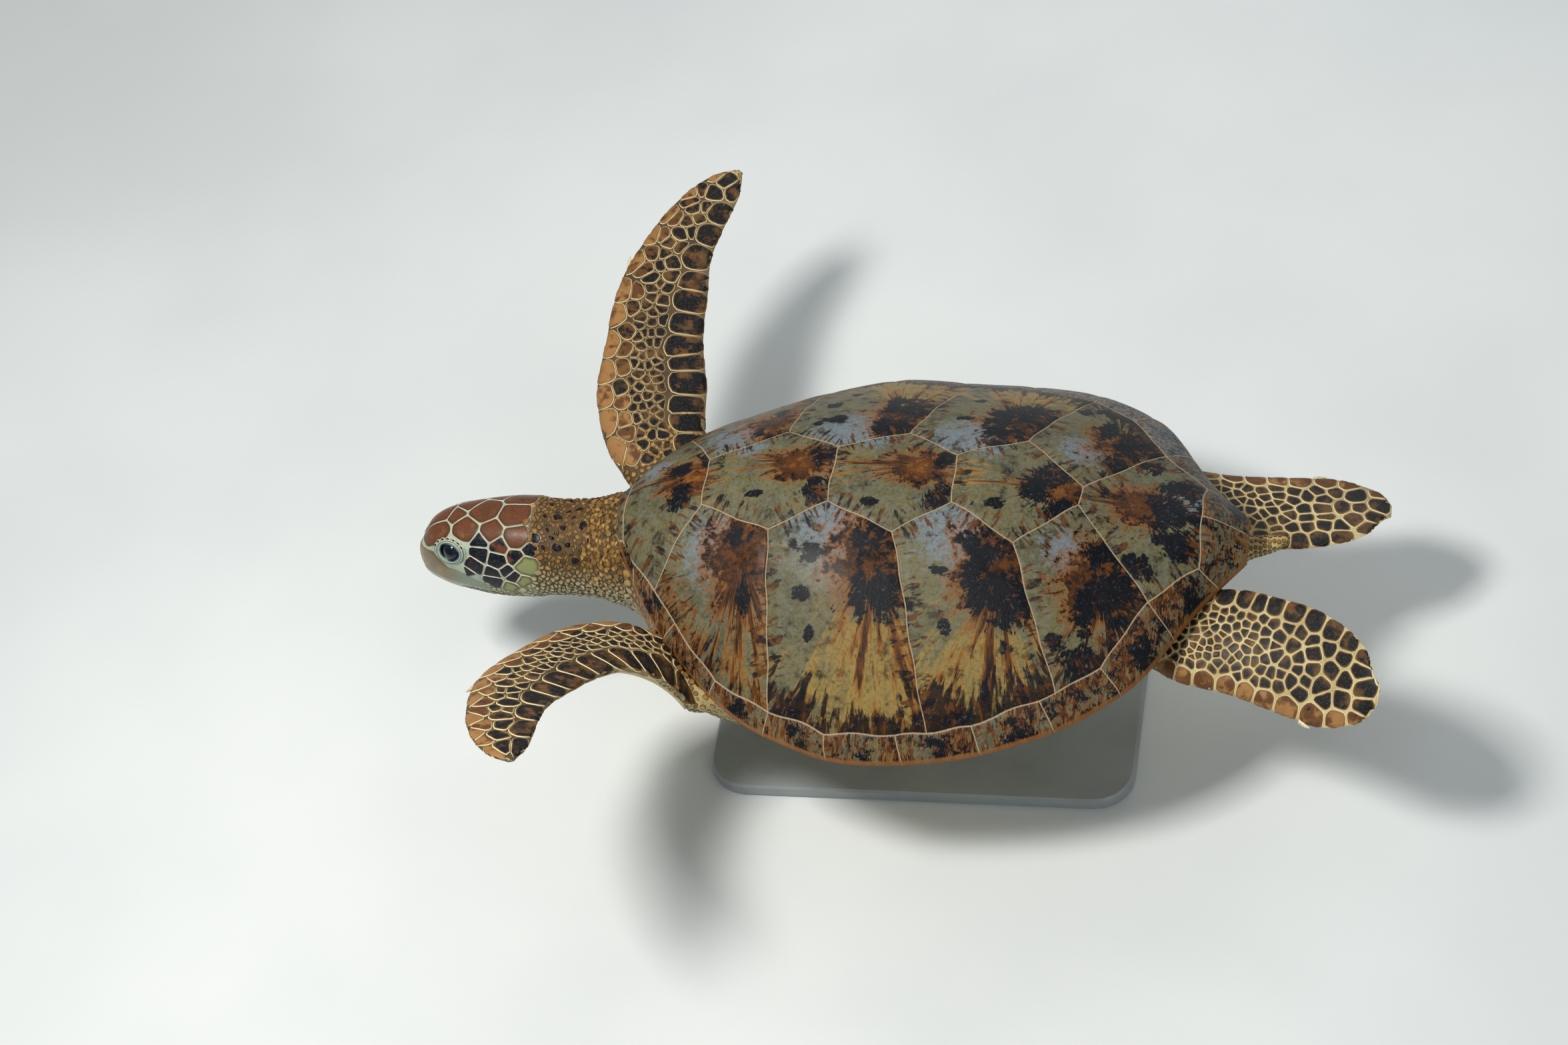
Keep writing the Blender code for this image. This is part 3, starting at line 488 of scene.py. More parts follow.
def sideDistance(points, outline):
    # distance of every plan point from each side of the outline
    a, b = outline, np.roll(outline, -1, axis=0)
    along = b - a
    share = np.einsum("pik,ik->pi", points[:, None] - a, along) / np.sum(along ** 2, axis=1)
    nearest = a + np.clip(share, 0, 1)[..., None] * along
    return np.linalg.norm(points[:, None] - nearest, axis=-1)


scute = {
    "seamDepth": .0011, "seamWidth": .0016, "crown": .0010, "lipRadius": .004,
    "borderRings": [0, .0004, .0009, .0016, .0026, .0040, .0060, .0090],     # in from the outline
    "underEvery": 6,                                    # rows of the top to one of the underside
}
backPlate = {"material": horn, "height": shellHeight, "thickness": body["shellThickness"],
             "slot": "carapace_horn", "up": 1, "spacing": .0032}


def plateGrid(outline, spacing):
    # rings of points that follow a star-shaped outline inwards, then shrink to its middle
    sides = np.linalg.norm(np.roll(outline, -1, axis=0) - outline, axis=1)
    counts = np.maximum(np.round(sides / spacing).astype(int), 1)
    rings = [alongOutline(insetOutline(outline, d), counts) for d in scute["borderRings"]]
    inner, middle = rings[-1], rings[-1].mean(axis=0)
    steps = max(3, int(np.linalg.norm(inner - middle, axis=1).max() / spacing))
    for share in np.linspace(1, 0, steps, endpoint=False)[1:]:
        rings.append(middle + (inner - middle) * share)
    return np.array(rings), middle


def scutePiece(name, outline, paint, kind, replaced, rimSides=()):
    # closed plate over a plan outline: seam groove at its sides, round lip where it is the rim
    rings, middle = plateGrid(outline, kind["spacing"])
    rows, columns = rings.shape[:2]
    plan = np.concatenate([rings.reshape(-1, 2), middle[None]])
    distances = sideDistance(plan, outline)
    isRim = np.zeros(len(outline), bool)
    isRim[list(rimSides)] = True
    seamGap = distances[:, ~isRim].min(axis=1)
    rimGap = distances[:, isRim].min(axis=1) if isRim.any() else np.full(len(plan), 1.0)
    warped = waver(plan)
    keep = 1 - ease(.0, .012, rimGap)                 # the rim itself stays on its curve
    warped = warped * (1 - keep[:, None]) + plan * keep[:, None]
    level, radius, border = kind["height"](warped), scute["lipRadius"], len(scute["borderRings"])
    sink = (scute["seamDepth"] * np.exp(-(seamGap / scute["seamWidth"]) ** 2)
            - scute["crown"] * ease(.002, .016, seamGap))
    lip = radius - np.sqrt(np.clip(radius ** 2 - np.clip(radius - rimGap, 0, None) ** 2, 0, None))
    top = place(warped[:, 0], warped[:, 1], level - kind["up"] * (sink + lip))
    bottomRows = [0, 3, border - 1, *range(border + 4, rows, scute["underEvery"])]
    picked = np.array([r * columns + np.arange(columns) for r in bottomRows])
    count = len(plan)
    under = np.concatenate([picked.ravel(), [count - 1]])
    wall = kind["thickness"] - np.minimum(lip[under], .8 * radius)
    low = place(warped[under, 0], warped[under, 1], level[under] - kind["up"] * wall)
    points = np.concatenate([top, low])
    quads = [gridQuads(rows, columns, closed=True),
             gridQuads(len(bottomRows), columns, closed=True, first=count)[:, ::-1]]
    c = np.arange(columns)
    n = (c + 1) % columns
    quads.append(np.stack([n, c, count + c, count + n], -1))
    tris = [fan((rows - 1) * columns + c, count - 1),
            fan(count + (len(bottomRows) - 1) * columns + c, len(points) - 1, -1)]
    quads, tris = outwards(points, np.concatenate(quads), np.concatenate(tris))
    whole = np.concatenate([np.arange(count), under])
    fields = {**paint(warped), "edge": seamGap * 1000, "rim": rimGap * 1000}      # both in mm
    fields = {key: value[whole] for key, value in fields.items()}
    settle(makePiece(name, points, quads, tris, kind["material"], fields), kind["slot"], *replaced)


vertebralCorners = [(.156, .173), (.365, .143), (.556, .122), (.748, .055)]
lateralCorners = [(.085, .80), (.275, .286), (.472, .258), (.656, .285), (.859, .597)]
marginalInner = [(.017, .805), (.041, .794), (.085, .80), (.122, .846), (.195, .931), (.287, .922),
                 (.378, .930), (.487, .923), (.535, .920), (.604, .912), (.708, .881),
                 (.730, .872), (.797, .832), (.859, .597), (.931, .617)]
costalRimEnds = [2, 5, 8, 11, 13]
marginalSeams = [(.006, None), (.042, 1), (.101, 3), (.183, 4), (.276, 5), (.380, 6), (.499, 7),
                 (.619, 9), (.730, 10), (.826, 12), (.899, 13), (.960, 14)]   # rim station, inner corner


def planOf(corners, side):
    return np.array([shellPlan(s, t * side) for s, t in corners])


def bothSides(half):
    # outline of a scute on the midline, from the corners of its right half
    return np.concatenate([planOf(half, 1), planOf(half[::-1], -1)])


# Each scute's look: where growth began (s, t), how far rust reaches from there, how tan it turns,
# its cool patch, the dark bars along the rim, an orange glow, and dark patches as
# (s, t, length, width). Lengths in metres.
costalLooks = [
    dict(heart=(.236, .42), rust=.064, tan=.55, cool=(.185, .38, .060), band=.50, glow=.10,
         darks=[(.256, .25, .012, .010), (.240, .57, .010, .020), (.222, .33, .010, .012)]),
    dict(heart=(.448, .36), rust=.070, tan=.80, cool=(.375, .25, .075), band=.80, glow=.16,
         darks=[(.345, .36, .018, .011), (.332, .52, .012, .010), (.318, .33, .007, .006),
                (.454, .27, .030, .028), (.464, .47, .024, .036), (.352, .64, .008, .008),
                (.425, .29, .014, .020), (.428, .49, .012, .032)]),
    dict(heart=(.636, .40), rust=.070, tan=.80, cool=(.560, .25, .065), band=.95, glow=.30,
         darks=[(.548, .40, .013, .007), (.500, .52, .012, .008), (.612, .30, .030, .026),
                (.655, .50, .030, .036), (.608, .45, .020, .036), (.560, .60, .008, .008)]),
    dict(heart=(.790, .47), rust=.062, tan=.55, cool=(.735, .30, .040), band=.75, glow=.25,
         darks=[(.795, .30, .026, .026), (.812, .52, .028, .036), (.778, .79, .034, .014),
                (.770, .58, .012, .034), (.725, .68, .010, .010)]),
]
vertebralLooks = [
    dict(heart=(.135, .04), rust=.050, tan=.35, cool=(.06, .3, .03), glow=.65, ahead=1,
         darks=[(.110, .10, .016, .018), (.120, -.14, .016, .020), (.150, .18, .010, .014)]),
    dict(heart=(.310, .04), rust=.046, tan=.45, cool=(.22, .2, .03), glow=.45, ahead=1,
         darks=[(.348, .08, .016, .020), (.344, -.10, .018, .022), (.245, -.12, .012, .006)]),
    dict(heart=(.500, .04), rust=.046, tan=.45, cool=(.42, .2, .03), glow=.50, ahead=1,
         darks=[(.540, .08, .014, .018), (.536, -.12, .018, .022), (.430, -.14, .012, .006)]),
    dict(heart=(.712, .01), rust=.042, tan=.60, cool=(.60, .2, .03), glow=.60, ahead=1,
         darks=[(.684, .0, .022, .030), (.722, .13, .024, .020), (.722, -.12, .024, .020),
                (.700, .09, .016, .016), (.625, -.12, .012, .008)]),
    dict(heart=(.845, .02), rust=.050, tan=.55, cool=(.93, .2, .05), glow=.45, ahead=1,
         darks=[(.878, .0, .028, .034), (.905, .32, .028, .022), (.905, -.32, .028, .022),
                (.842, .38, .020, .016), (.842, -.38, .020, .016), (.935, 0, .024, .034),
                (.880, .22, .016, .014), (.880, -.22, .016, .014)]),
]


def seamPlace(plan, outline):
    # place along the nearest side in dashes of 7 mm, and out from it in lengths of 32 mm
    gaps = sideDistance(plan, outline)
    nearest = gaps.argmin(axis=1)
    ahead = unit(np.roll(outline, -1, axis=0) - outline)[nearest]
    along = np.sum((plan - outline[nearest]) * ahead, axis=1)
    return np.stack([along / .007 + nearest * 17.3 + outline[0, 0] * 90, gaps.min(axis=1) / .032,
                     along * 0], -1)


def scutePaint(look, side, outline, rimward=None):
    # marks spread from the scute's heart; rays run along the bearing from it
    heart = shellPlan(look["heart"][0], look["heart"][1] * side)
    seed = 3.7 * look["heart"][0] + side

    def paint(plan):
        away = (plan - heart) * np.array([1.0, 1.25])     # the dome's slope lengthens y
        if "ahead" in look:
            outwardShare, across = -away[:, 0], away[:, 1]   # vertebral rays run forward
            oval = np.hypot(away[:, 0] / 1.25, away[:, 1])
        else:
            outwardShare, across = away[:, 1] * side, away[:, 0]
            oval = np.hypot(away[:, 0], away[:, 1] / 1.45)
        r = np.hypot(away[:, 0], away[:, 1])
        bearing = np.arctan2(across, outwardShare)
        turn = 9.0                                         # places along a turn of the rays
        rays = np.stack([np.cos(bearing) * turn, np.sin(bearing) * turn + seed * 11, r], -1)
        gaps = sideDistance(plan, outline)
        fanOut = np.exp(-(bearing / .62) ** 2)             # the fan's half width in radians
        reach = .34 if "ahead" in look else .60
        rust = np.maximum(1.12 - .72 * oval / look["rust"], fanOut * (reach - np.clip(r - .05, 0, None)))
        dark = .30 * np.exp(-((oval - look["rust"] * .8) / .03) ** 2)
        for s, t, length, width in look["darks"]:
            spot = plan - shellPlan(s, t * side)
            dark = np.maximum(dark, .92 - .42 * np.hypot(spot[:, 0] / length, spot[:, 1] / width) ** 2)
        tanField = look["tan"] * ease(.045, .10, r) * (.30 + .70 * fanOut)
        if side > 0 and "ahead" not in look:
            rust = rust * .80                              # painted sheen: the far side, towards the light, keeps a fifth less rust
        coolHeart = shellPlan(look["cool"][0], look["cool"][1] * side)
        cool = .95 * np.exp(-(np.linalg.norm(plan - coolHeart, axis=1) / look["cool"][2]) ** 2)
        bars = .30 * ease(.017, .001, gaps.min(axis=1))
        if rimward is not None:
            rimGap = gaps[:, rimward].min(axis=1)
            bars = np.maximum(bars, look["band"] * (1 - rimGap / .074))
            rust = np.maximum(rust, .50 * ease(.06, .01, rimGap))
        glow = look["glow"] * 1.2 * np.exp(-(r / .030) ** 2)
        return {"rays": rays, "marks": np.stack([rust, dark, tanField], -1).clip(0, 1.2),
                "cool": cool, "wear": np.zeros(len(plan)), "bars": bars.clip(0, 1), "glow": glow,
                "fan": fanOut * ease(.015, .050, r), "border": seamPlace(plan, outline)}

    return paint


def marginalPaint(outline, index, side, rimSide):
    # a dark heart streaked towards the rim, rust beyond it, a painted grey sheen along the far side
    middle = outline.mean(axis=0)

    def paint(plan):
        away = (plan - middle) * 1000
        gaps = sideDistance(plan, outline)
        turn, gap = gaps[:, rimSide].min(axis=1), gaps.min(axis=1)
        rays = np.stack([away[:, 0] * .22 + index * 5, away[:, 1] * .05, turn * 6], -1)
        blot = np.exp(-(np.abs(away[:, 0] - 8) / 19) ** 2.5 - (np.abs(away[:, 1]) / 15) ** 2.5)
        dark = .28 + .52 * blot * (.65 + .35 * np.cos(index * 2.1 + side))
        rust = .50 + .12 * np.sin(away[:, 0] / 16 + index)
        tanField = .10 + .3 * ease(.016, .004, turn)
        s = middle[0] / shellLength
        # painted grey sheen of reflected light on the far side's rear marginals
        worn = .80 * ease(.30, .62, s) * ease(1.02, .80, s) * (side > 0)
        dark = dark + .14 * ease(.60, .85, s)              # darkest over the tail
        return {"rays": rays, "marks": np.stack([rust, dark, tanField], -1),
                "cool": np.full(len(plan), .10), "wear": np.full(len(plan), worn),
                "bars": .42 * ease(.014, .001, gap), "glow": np.full(len(plan), .05),
                "fan": np.full(len(plan), .75), "border": seamPlace(plan, outline)}

    return paint


def buildCarapace():
    v, lateral, inner = vertebralCorners, lateralCorners, marginalInner
    nuchal = bothSides([inner[0], (.006, 1), (0, 1)])
    look = dict(vertebralLooks[0], heart=(.004, 0), rust=.01, darks=[], glow=0)
    scutePiece("scute_nuchal", nuchal, scutePaint(look, 1, nuchal), {**backPlate, "spacing": .0028},
               ["carapace_nuchal"], [2])
    halves = [inner[:3] + [v[0]], *([v[i], lateral[i + 1], v[i + 1]] for i in range(3)),
              [v[3], lateral[4], inner[-1]]]
    for i, (half, look) in enumerate(zip(halves, vertebralLooks), 1):
        outline = bothSides(half)
        scutePiece(f"scute_vertebral_{i}", outline, scutePaint(look, 1, outline), backPlate,
                   [f"carapace_vertebral_{i}"])
    for side, word in ((1, "right"), (-1, "left")):
        for i in range(4):
            facing = inner[costalRimEnds[i]:costalRimEnds[i + 1] + 1][::-1]
            corners = list(dict.fromkeys([lateral[i], v[i], lateral[i + 1], *facing]))
            outline = planOf(corners, side)
            shared = [k for k, corner in enumerate(corners)
                      if corner in inner and corners[(k + 1) % len(corners)] in inner]
            scutePiece(f"scute_costal_{word}_{i + 1}", outline,
                       scutePaint(costalLooks[i], side, outline, shared), backPlate,
                       [f"carapace_costal_{word}_{i + 1}"])
        buildMarginals(side, word)


def buildMarginals(side, word):
    inner = marginalInner
    for i, (start, end) in enumerate(zip(marginalSeams, marginalSeams[1:] + [(1.0, None)])):
        rim = [(s, 1.0) for s in np.linspace(start[0], end[0], 5)]
        rimSides = [0, 1, 2, 3]
        if end[1] is None:                                 # the last one meets its twin over the tail
            corners = rim + [(1.0, 0.0), (inner[-1][0], 0.0), inner[-1]]
            rimSides.append(4)
        else:
            corners = rim + inner[start[1] or 0:end[1] + 1][::-1]
        outline = planOf(corners, side)
        scutePiece(f"scute_marginal_{word}_{i + 1}", outline, marginalPaint(outline, i, side, rimSides),
                   {**backPlate, "spacing": .0030}, ["carapace_marginals_" + word] if i == 0 else [],
                   rimSides)


buildCarapace()
print("carapace built")


# Flesh: the shapes that the skin and its scales share
headShape = {
    "power": 2.2, "noseDepth": .003, "rollEnds": .13, "neckEnd": .31,
    "stations": [0, .004, .012, .024, .040, .060, .085, .112, .140, .165, .178, .20, .235, .27, .31],
    "halfWidth": [.012, .019, .027, .035, .043, .0495, .0555, .0600, .0620, .0620, .0605, .0615, .063,
                  .071, .078],
    "crown": [.004, .0135, .027, .0415, .0505, .0565, .0610, .0640, .0665, .0665, .0625, .0615, .063,
              .071, .078],
    "throat": [.036, .0440, .0485, .0525, .0570, .0605, .0640, .0665, .0670, .0655, .0620, .0615, .063,
               .071, .078],
    "creaseEvery": .0115, "creaseDepth": .0024,
}
headHalfWidth, headCrown, headThroat = (curveThrough(headShape["stations"], headShape[key])
                                        for key in ("halfWidth", "crown", "throat"))


def headPlace(d, left, up):
    # d behind the snout, left and up across the axis; the roll fades out along the neck
    d, left, up = np.broadcast_arrays(np.asarray(d, float), left, up)
    roll = body["headRoll"] * np.clip(1 - (d - body["headLength"]) / headShape["rollEnds"], 0, 1)
    y = -np.cos(roll) * left + np.sin(roll) * up
    z = np.sin(roll) * left + np.cos(roll) * up
    return place(body["snoutX"] + d, y, body["headAxis"] + z)


def neckFold(d, bearing):
    # 0 on a ridge, 1 in a crease; the creases run round the neck, wandering by a third of their space
    wander = .30 * np.sin(2 * bearing + 1) + .18 * np.sin(5 * bearing + 2) + .10 * np.sin(11 * bearing)
    crease = (.5 - .5 * np.cos(2 * np.pi * (d / headShape["creaseEvery"] + wander))) ** 2
    return crease * ease(.180, .205, d) * ease(.310, .290, d)


def headSurface(d, bearing, lift=0.0):
    # superellipse of power 2.2 round the middle of crown and throat; bearing is 0 at the crown
    d, bearing = np.broadcast_arrays(np.asarray(d, float), bearing)
    crown, throat, power = headCrown(d), headThroat(d), headShape["power"]
    radius = ((np.abs(np.sin(bearing)) / headHalfWidth(d)) ** power
              + (np.abs(np.cos(bearing)) / ((crown + throat) / 2)) ** power) ** (-1 / power)
    rounded = np.sqrt(np.clip(1 - (np.minimum(d, 0) / headShape["noseDepth"]) ** 2, 0, 1))
    radius = radius * rounded - headShape["creaseDepth"] * neckFold(d, bearing) + lift
    return headPlace(d, radius * np.sin(bearing), (crown - throat) / 2 + radius * np.cos(bearing))


def withNormals(surface, a, b, turn):
    # points and unit normals of a surface of two parameters, from small steps along each
    step = 2e-4
    along = surface(a + step, b) - surface(a - step, b)
    across = surface(a, b + step) - surface(a, b - step)
    return surface(a, b), unit(np.cross(along, across)) * turn


bladeRoot = {"share": .32, "frontReach": .07, "hindReach": .06, "steps": 60}
frontStations = [0, .12, .25, .4, .55, .7, .82, .92, .97, 1]
hindStations = [0, .15, .35, .55, .75, .9, .97, 1]
bladeForms = {
    "front": dict(length=.50, reach=.07,
                  ahead=curveThrough(frontStations, [.053, .073, .079, .069, .066, .054, .044, .031, .018,
                                                     .004]),
                  behind=curveThrough(frontStations, [.046, .059, .069, .064, .059, .044, .038, .029, .016,
                                                      .005]),
                  thick=curveThrough([0, .12, .25, .4, .55, .7, .85, 1],
                                     [.030, .026, .021, .016, .012, .009, .006, .0015])),
    "hind": dict(length=.303, reach=.06,
                 ahead=curveThrough(hindStations, [.055, .061, .057, .061, .065, .053, .037, .020]),
                 behind=curveThrough(hindStations, [.052, .065, .074, .074, .063, .040, .010, .003]),
                 thick=curveThrough([0, .15, .35, .55, .75, .9, 1],
                                    [.026, .021, .014, .009, .0065, .0045, .0015])),
}
bladePoses = {
    "front_right": dict(side=1, root=(.025, .137, -.020), sweep=.413, lift=.298, pitch=-.041,
                        bendIn=(.78, .427), bendOut=(-.136, .012), twist=(.055, -.020),
                        leadTrim=-.008, armpit=.004, droop=0),
    "front_left": dict(side=-1, root=(.087, -.156, -.012), sweep=.940, lift=.605, pitch=.354,
                       bendIn=(1.072, .358), bendOut=(-.259, -.051), twist=(.412, -.575),
                       leadTrim=.072, armpit=.057, droop=.75),
    "hind_right": dict(side=1, root=(.667, .100, -.020), sweep=.162, lift=-.255, pitch=-.077,
                       bendIn=(.194, 0), bendOut=(.189, 0), twist=(-.073, 0),
                       leadTrim=0, armpit=0, droop=0),
    "hind_left": dict(side=-1, root=(.701, -.100, -.021), sweep=.355, lift=.020, pitch=-.387,
                      bendIn=(.025, 0), bendOut=(.339, 0), twist=(-.346, 0),
                      leadTrim=0, armpit=0, droop=0),
}


def walkBlade(name):
    # midline of a flipper: each step bends, lifts and twists the last one's frame
    kind = name.split("_")[0]
    pose = {**bladeForms[kind], **bladePoses[name]}
    side, sweep, lift, pitch = (pose[key] for key in ("side", "sweep", "lift", "pitch"))
    flat, high = math.cos(lift), math.sin(lift)
    if kind == "front":
        forward = np.array([-math.sin(sweep) * flat, side * math.cos(sweep) * flat, high])
        edge, turn = np.array([-math.cos(sweep), -side * math.sin(sweep), 0]), -1
    else:
        forward = np.array([math.cos(sweep) * flat, side * math.sin(sweep) * flat, high])
        edge, turn = np.array([-math.sin(sweep), side * math.cos(sweep), 0]), 1
    face = np.cross(forward, edge)
    face *= np.sign(face[2])
    edge, face = (edge * math.cos(pitch) + turn * face * math.sin(pitch),
                  face * math.cos(pitch) - turn * edge * math.sin(pitch))
    point, steps = place(*pose["root"]), bladeRoot["steps"]
    frames = [(point, forward, edge, face)]
    for i in range(steps):
        share, h = i / steps, 1 / steps
        bend, rise, roll = (h * (rate[0] + rate[1] * share)
                            for rate in (pose["bendIn"], pose["bendOut"], pose["twist"]))
        roll *= -turn
        newForward = unit(forward - edge * bend + face * rise)
        newEdge = edge + forward * bend - face * roll
        newFace = face - forward * rise + edge * roll
        forward = newForward
        edge = unit(newEdge - forward * (newEdge @ forward))
        face = unit(newFace - forward * (newFace @ forward) - edge * (newFace @ edge))
        point = point + forward * h * pose["length"]
        frames.append((point, forward, edge, face))
    pose["frames"] = np.array(frames)
    return pose


def bladeFrame(blade, t):
    # point, forward, edge and face of the midline at share t, with the root's droop
    t = np.asarray(t, float)
    shares = np.linspace(0, 1, len(blade["frames"]))
    flat = blade["frames"].reshape(len(shares), -1)
    mixed = np.stack([np.interp(t, shares, column) for column in flat.T], -1)
    point, forward, edge, face = np.moveaxis(mixed.reshape(t.shape + (4, 3)), -2, 0)
    nearRoot = np.clip(1 - t / bladeRoot["share"], 0, None)
    nearRoot = np.where(t < 0, 1, np.minimum(nearRoot, 1)) ** 1.5
    droop = (blade["droop"] * nearRoot)[..., None]
    edge, face = (edge * np.cos(droop) + face * np.sin(droop),
                  face * np.cos(droop) - edge * np.sin(droop))
    front = blade["ahead"](t) - blade["leadTrim"] * nearRoot
    rear = blade["behind"](t) + blade["armpit"] * nearRoot
    return point, forward, edge, face, front, rear, blade["thick"](t)


def lensDepth(thick, c, s):
    # depth of a flipper at cosine c and sine s round its section, fullest in front
    return thick * s * (.78 + .22 * c)


def bladeRing(blade, t, angle, inset=0.0):
    # lens section: the chord goes with the cosine, the depth with the sine;
    # below t = 0 the ring shrinks and backs into the body
    t, angle = np.broadcast_arrays(np.asarray(t, float), angle)
    point, forward, edge, face, front, rear, thick = bladeFrame(blade, t)
    scale = np.interp(t, [-1, -.5, 0], [.55, .85, 1])
    point = point - forward * (np.clip(-t, 0, None) * blade["reach"])[..., None]
    front, rear = front * scale - inset, rear * scale - inset
    thick = np.maximum(thick * scale - inset, .0004)
    c, s = np.cos(angle), np.sin(angle)
    chord = (front + rear) / 2 * c + (front - rear) / 2
    return point + chord[..., None] * edge + lensDepth(thick, c, s)[..., None] * face


def bladeFace(blade, up):
    # one face of a flipper as points and normals over (distance from the root, chord place)
    def surface(a, b):
        # past the edge the chart goes on round it, on to the other face
        point, forward, edge, face, front, rear, thick = bladeFrame(blade, a / blade["length"])
        wide, middle = (front + rear) / 2, (front - rear) / 2
        c = (b - middle) / wide
        back = np.abs(c) > 1
        c = np.clip(np.where(back, np.sign(c) * (2 - np.abs(c)), c), -1, 1)
        s = np.sqrt(1 - c * c) * np.where(back, -up, up)
        normal = unit((c / wide)[..., None] * edge + (s / thick)[..., None] * face)
        spot = point + (wide * c + middle)[..., None] * edge + lensDepth(thick, c, s)[..., None] * face
        return spot, normal

    return surface


trunkShape = {
    "flank": -.025, "powers": (1.6, 2.6), "span": .975,
    "stations": [-.045, -.02, 0, .02, .045, .07, .125, .20, .30, .42, .58, .70, .80, .88, .93],
    "left": [.070, .078, .086, .100, .130, .180, .268, .303, .328, .350, .335, .285, .190, .100, .050],
    "right": [.070, .078, .086, .100, .125, .155, .215, .275, .325, .350, .335, .285, .190, .100, .050],
    "topAt": [-.045, -.02, .02, .08, .2, .8, .93], "top": [.030, .036, .055, .095, .17, .2, .08],
    "bottomAt": [-.045, -.02, .02, .08, .2, .7, .85, .93],
    "bottom": [-.080, -.088, -.100, -.120, -.135, -.135, -.10, -.035],
}


def ovalRing(center, angle, wide, top, bottom, powers):
    # superellipse across the body, with one power above and another below
    c, s = np.cos(angle), np.sin(angle)
    power = np.where(s > 0, *powers)
    y = np.sign(c) * np.abs(c) ** (2 / power) * wide
    z = np.sign(s) * np.abs(s) ** (2 / power) * np.where(s > 0, top, bottom)
    return center + np.stack([0 * y, y, z], -1)


def trunkRings(rows, columns, inset):
    shape = trunkShape
    left, right = (curveThrough(shape["stations"], shape[key]) for key in ("left", "right"))
    top, bottom = (curveThrough(shape[key + "At"], shape[key]) for key in ("top", "bottom"))
    s = (shape["stations"][0] + shape["span"] * np.linspace(0, 1, rows) ** 1.25)[:, None]
    wide, shift = (left(s) + right(s)) / 2 * shellLength, (right(s) - left(s)) / 2 * shellLength
    center = place(s * shellLength, shift, shape["flank"])
    return ovalRing(center, turns(columns)[None], wide - inset, top(s) - shape["flank"] - inset,
                    shape["flank"] - bottom(s) - inset, shape["powers"])


tail = {
    "root": .66, "tip": .846, "flatness": .85,             # behind the nuchal edge
    "radius": curveThrough([.66, .72, .79, .835, .846], [.036, .029, .018, .010, .005]),
    "across": curveThrough([.66, .72, .79, .846], [0, .004, .020, .031]),
    "height": curveThrough([.66, .76, .846], [-.032, -.016, -.007]),
}


def tailRings(rows, columns, inset):
    # ellipses along a line that swings to the right and rises
    x = np.linspace(tail["root"], tail["tip"] - inset, rows)[:, None]
    radius = tail["radius"](x) - inset
    high = radius * tail["flatness"]
    return ovalRing(place(x, tail["across"](x), tail["height"](x)), turns(columns)[None], radius, high, high,
                    (2.0, 2.0))


# Plastron
plastronShape = {
    "wideAt": [.04, .07, .13, .20, .25, .31, .45, .58, .65, .70, .80, .88, .91],
    "wide": [.03, .08, .15, .195, .26, .325, .355, .335, .27, .18, .13, .07, .03],
    "keelAt": [.04, .12, .25, .62, .78, .91], "keel": [-.072, -.108, -.13, -.13, -.112, -.072],
    "edgeAt": [.04, .12, .22, .31, .45, .58, .67, .78, .91],
    "edge": [-.066, -.092, -.085, -.050, -.047, -.042, -.070, -.094, -.064],
    "names": ["gular", "humeral", "pectoral", "abdominal", "femoral", "anal"],
    "seams": [.04, .115, .235, .39, .545, .715, .91],
    "bridge": [.235, .29, .34, .39, .44, .49, .545, .60, .66], "bridgeInner": .70,
}
plastronWide, plastronKeel, plastronEdge = (
    curveThrough(plastronShape[key + "At"], plastronShape[key]) for key in ("wide", "keel", "edge"))


def plastronPlan(s, t):
    s, t = np.broadcast_arrays(np.asarray(s, float), np.asarray(t, float))
    return np.stack([s * shellLength, t * plastronWide(s) * shellLength], -1)


def plastronHeight(plan):
    # flat along the keel, turned up to the bridge as (|t| - 1/4) to the power 2.2
    s = plan[..., 0] / shellLength
    t = np.abs(plan[..., 1]) / (plastronWide(s) * shellLength)
    rise = np.clip((np.clip(t, 0, 1) - .25) / .75, 0, 1) ** 2.2
    return plastronKeel(s) + (plastronEdge(s) - plastronKeel(s)) * rise


bellyPlate = {"material": belly, "height": plastronHeight, "thickness": body["plastronThickness"],
              "slot": "plastron_horn", "up": -1, "spacing": .0075}


def plainHorn(plan):
    return {}


def buildPlastron():
    # six pairs of plates along the middle, and a bridge to the rim on each side
    shape = plastronShape
    for side, word in ((1, "right"), (-1, "left")):
        for name, low, high in zip(shape["names"], shape["seams"], shape["seams"][1:]):
            stations = np.linspace(low, high, 9)
            reach = np.where((stations >= shape["bridge"][0]) & (stations <= shape["bridge"][-1]),
                             shape["bridgeInner"], 1.0)
            rim = plastronPlan(stations, reach * side)
            keep = np.concatenate([[True], np.linalg.norm(np.diff(rim, axis=0), axis=1) > .004])
            rim = rim[keep]
            ends = plastronPlan(np.array([high, low]), 0)
            outline = np.concatenate([rim, ends])
            free = [i for i in range(len(rim) - 1)
                    if not (shape["bridge"][0] <= stations[keep][i] < shape["bridge"][-1])]
            scutePiece(f"plate_{name}_{word}", outline, plainHorn, bellyPlate, [f"plastron_{name}_{word}"],
                       free)
        bridge = np.array(shape["bridge"])
        outline = np.concatenate([plastronPlan(bridge, shape["bridgeInner"] * side),
                                  plastronPlan(bridge[::-1], side)])
        scutePiece(f"plate_bridge_{word}", outline, plainHorn, bellyPlate, [f"plastron_bridge_{word}"],
                   list(range(len(bridge), 2 * len(bridge) - 1)))


buildPlastron()
print("plastron built")


# Eyes and lids
eye = {
    "behind": .0575, "left": .0302, "up": .0213, "radius": .0162, "opening": (.0146, .0114),
    "lid": (.0285, .0190), "lidRise": .0020, "wrinkle": .0027, "socket": .0135,
}


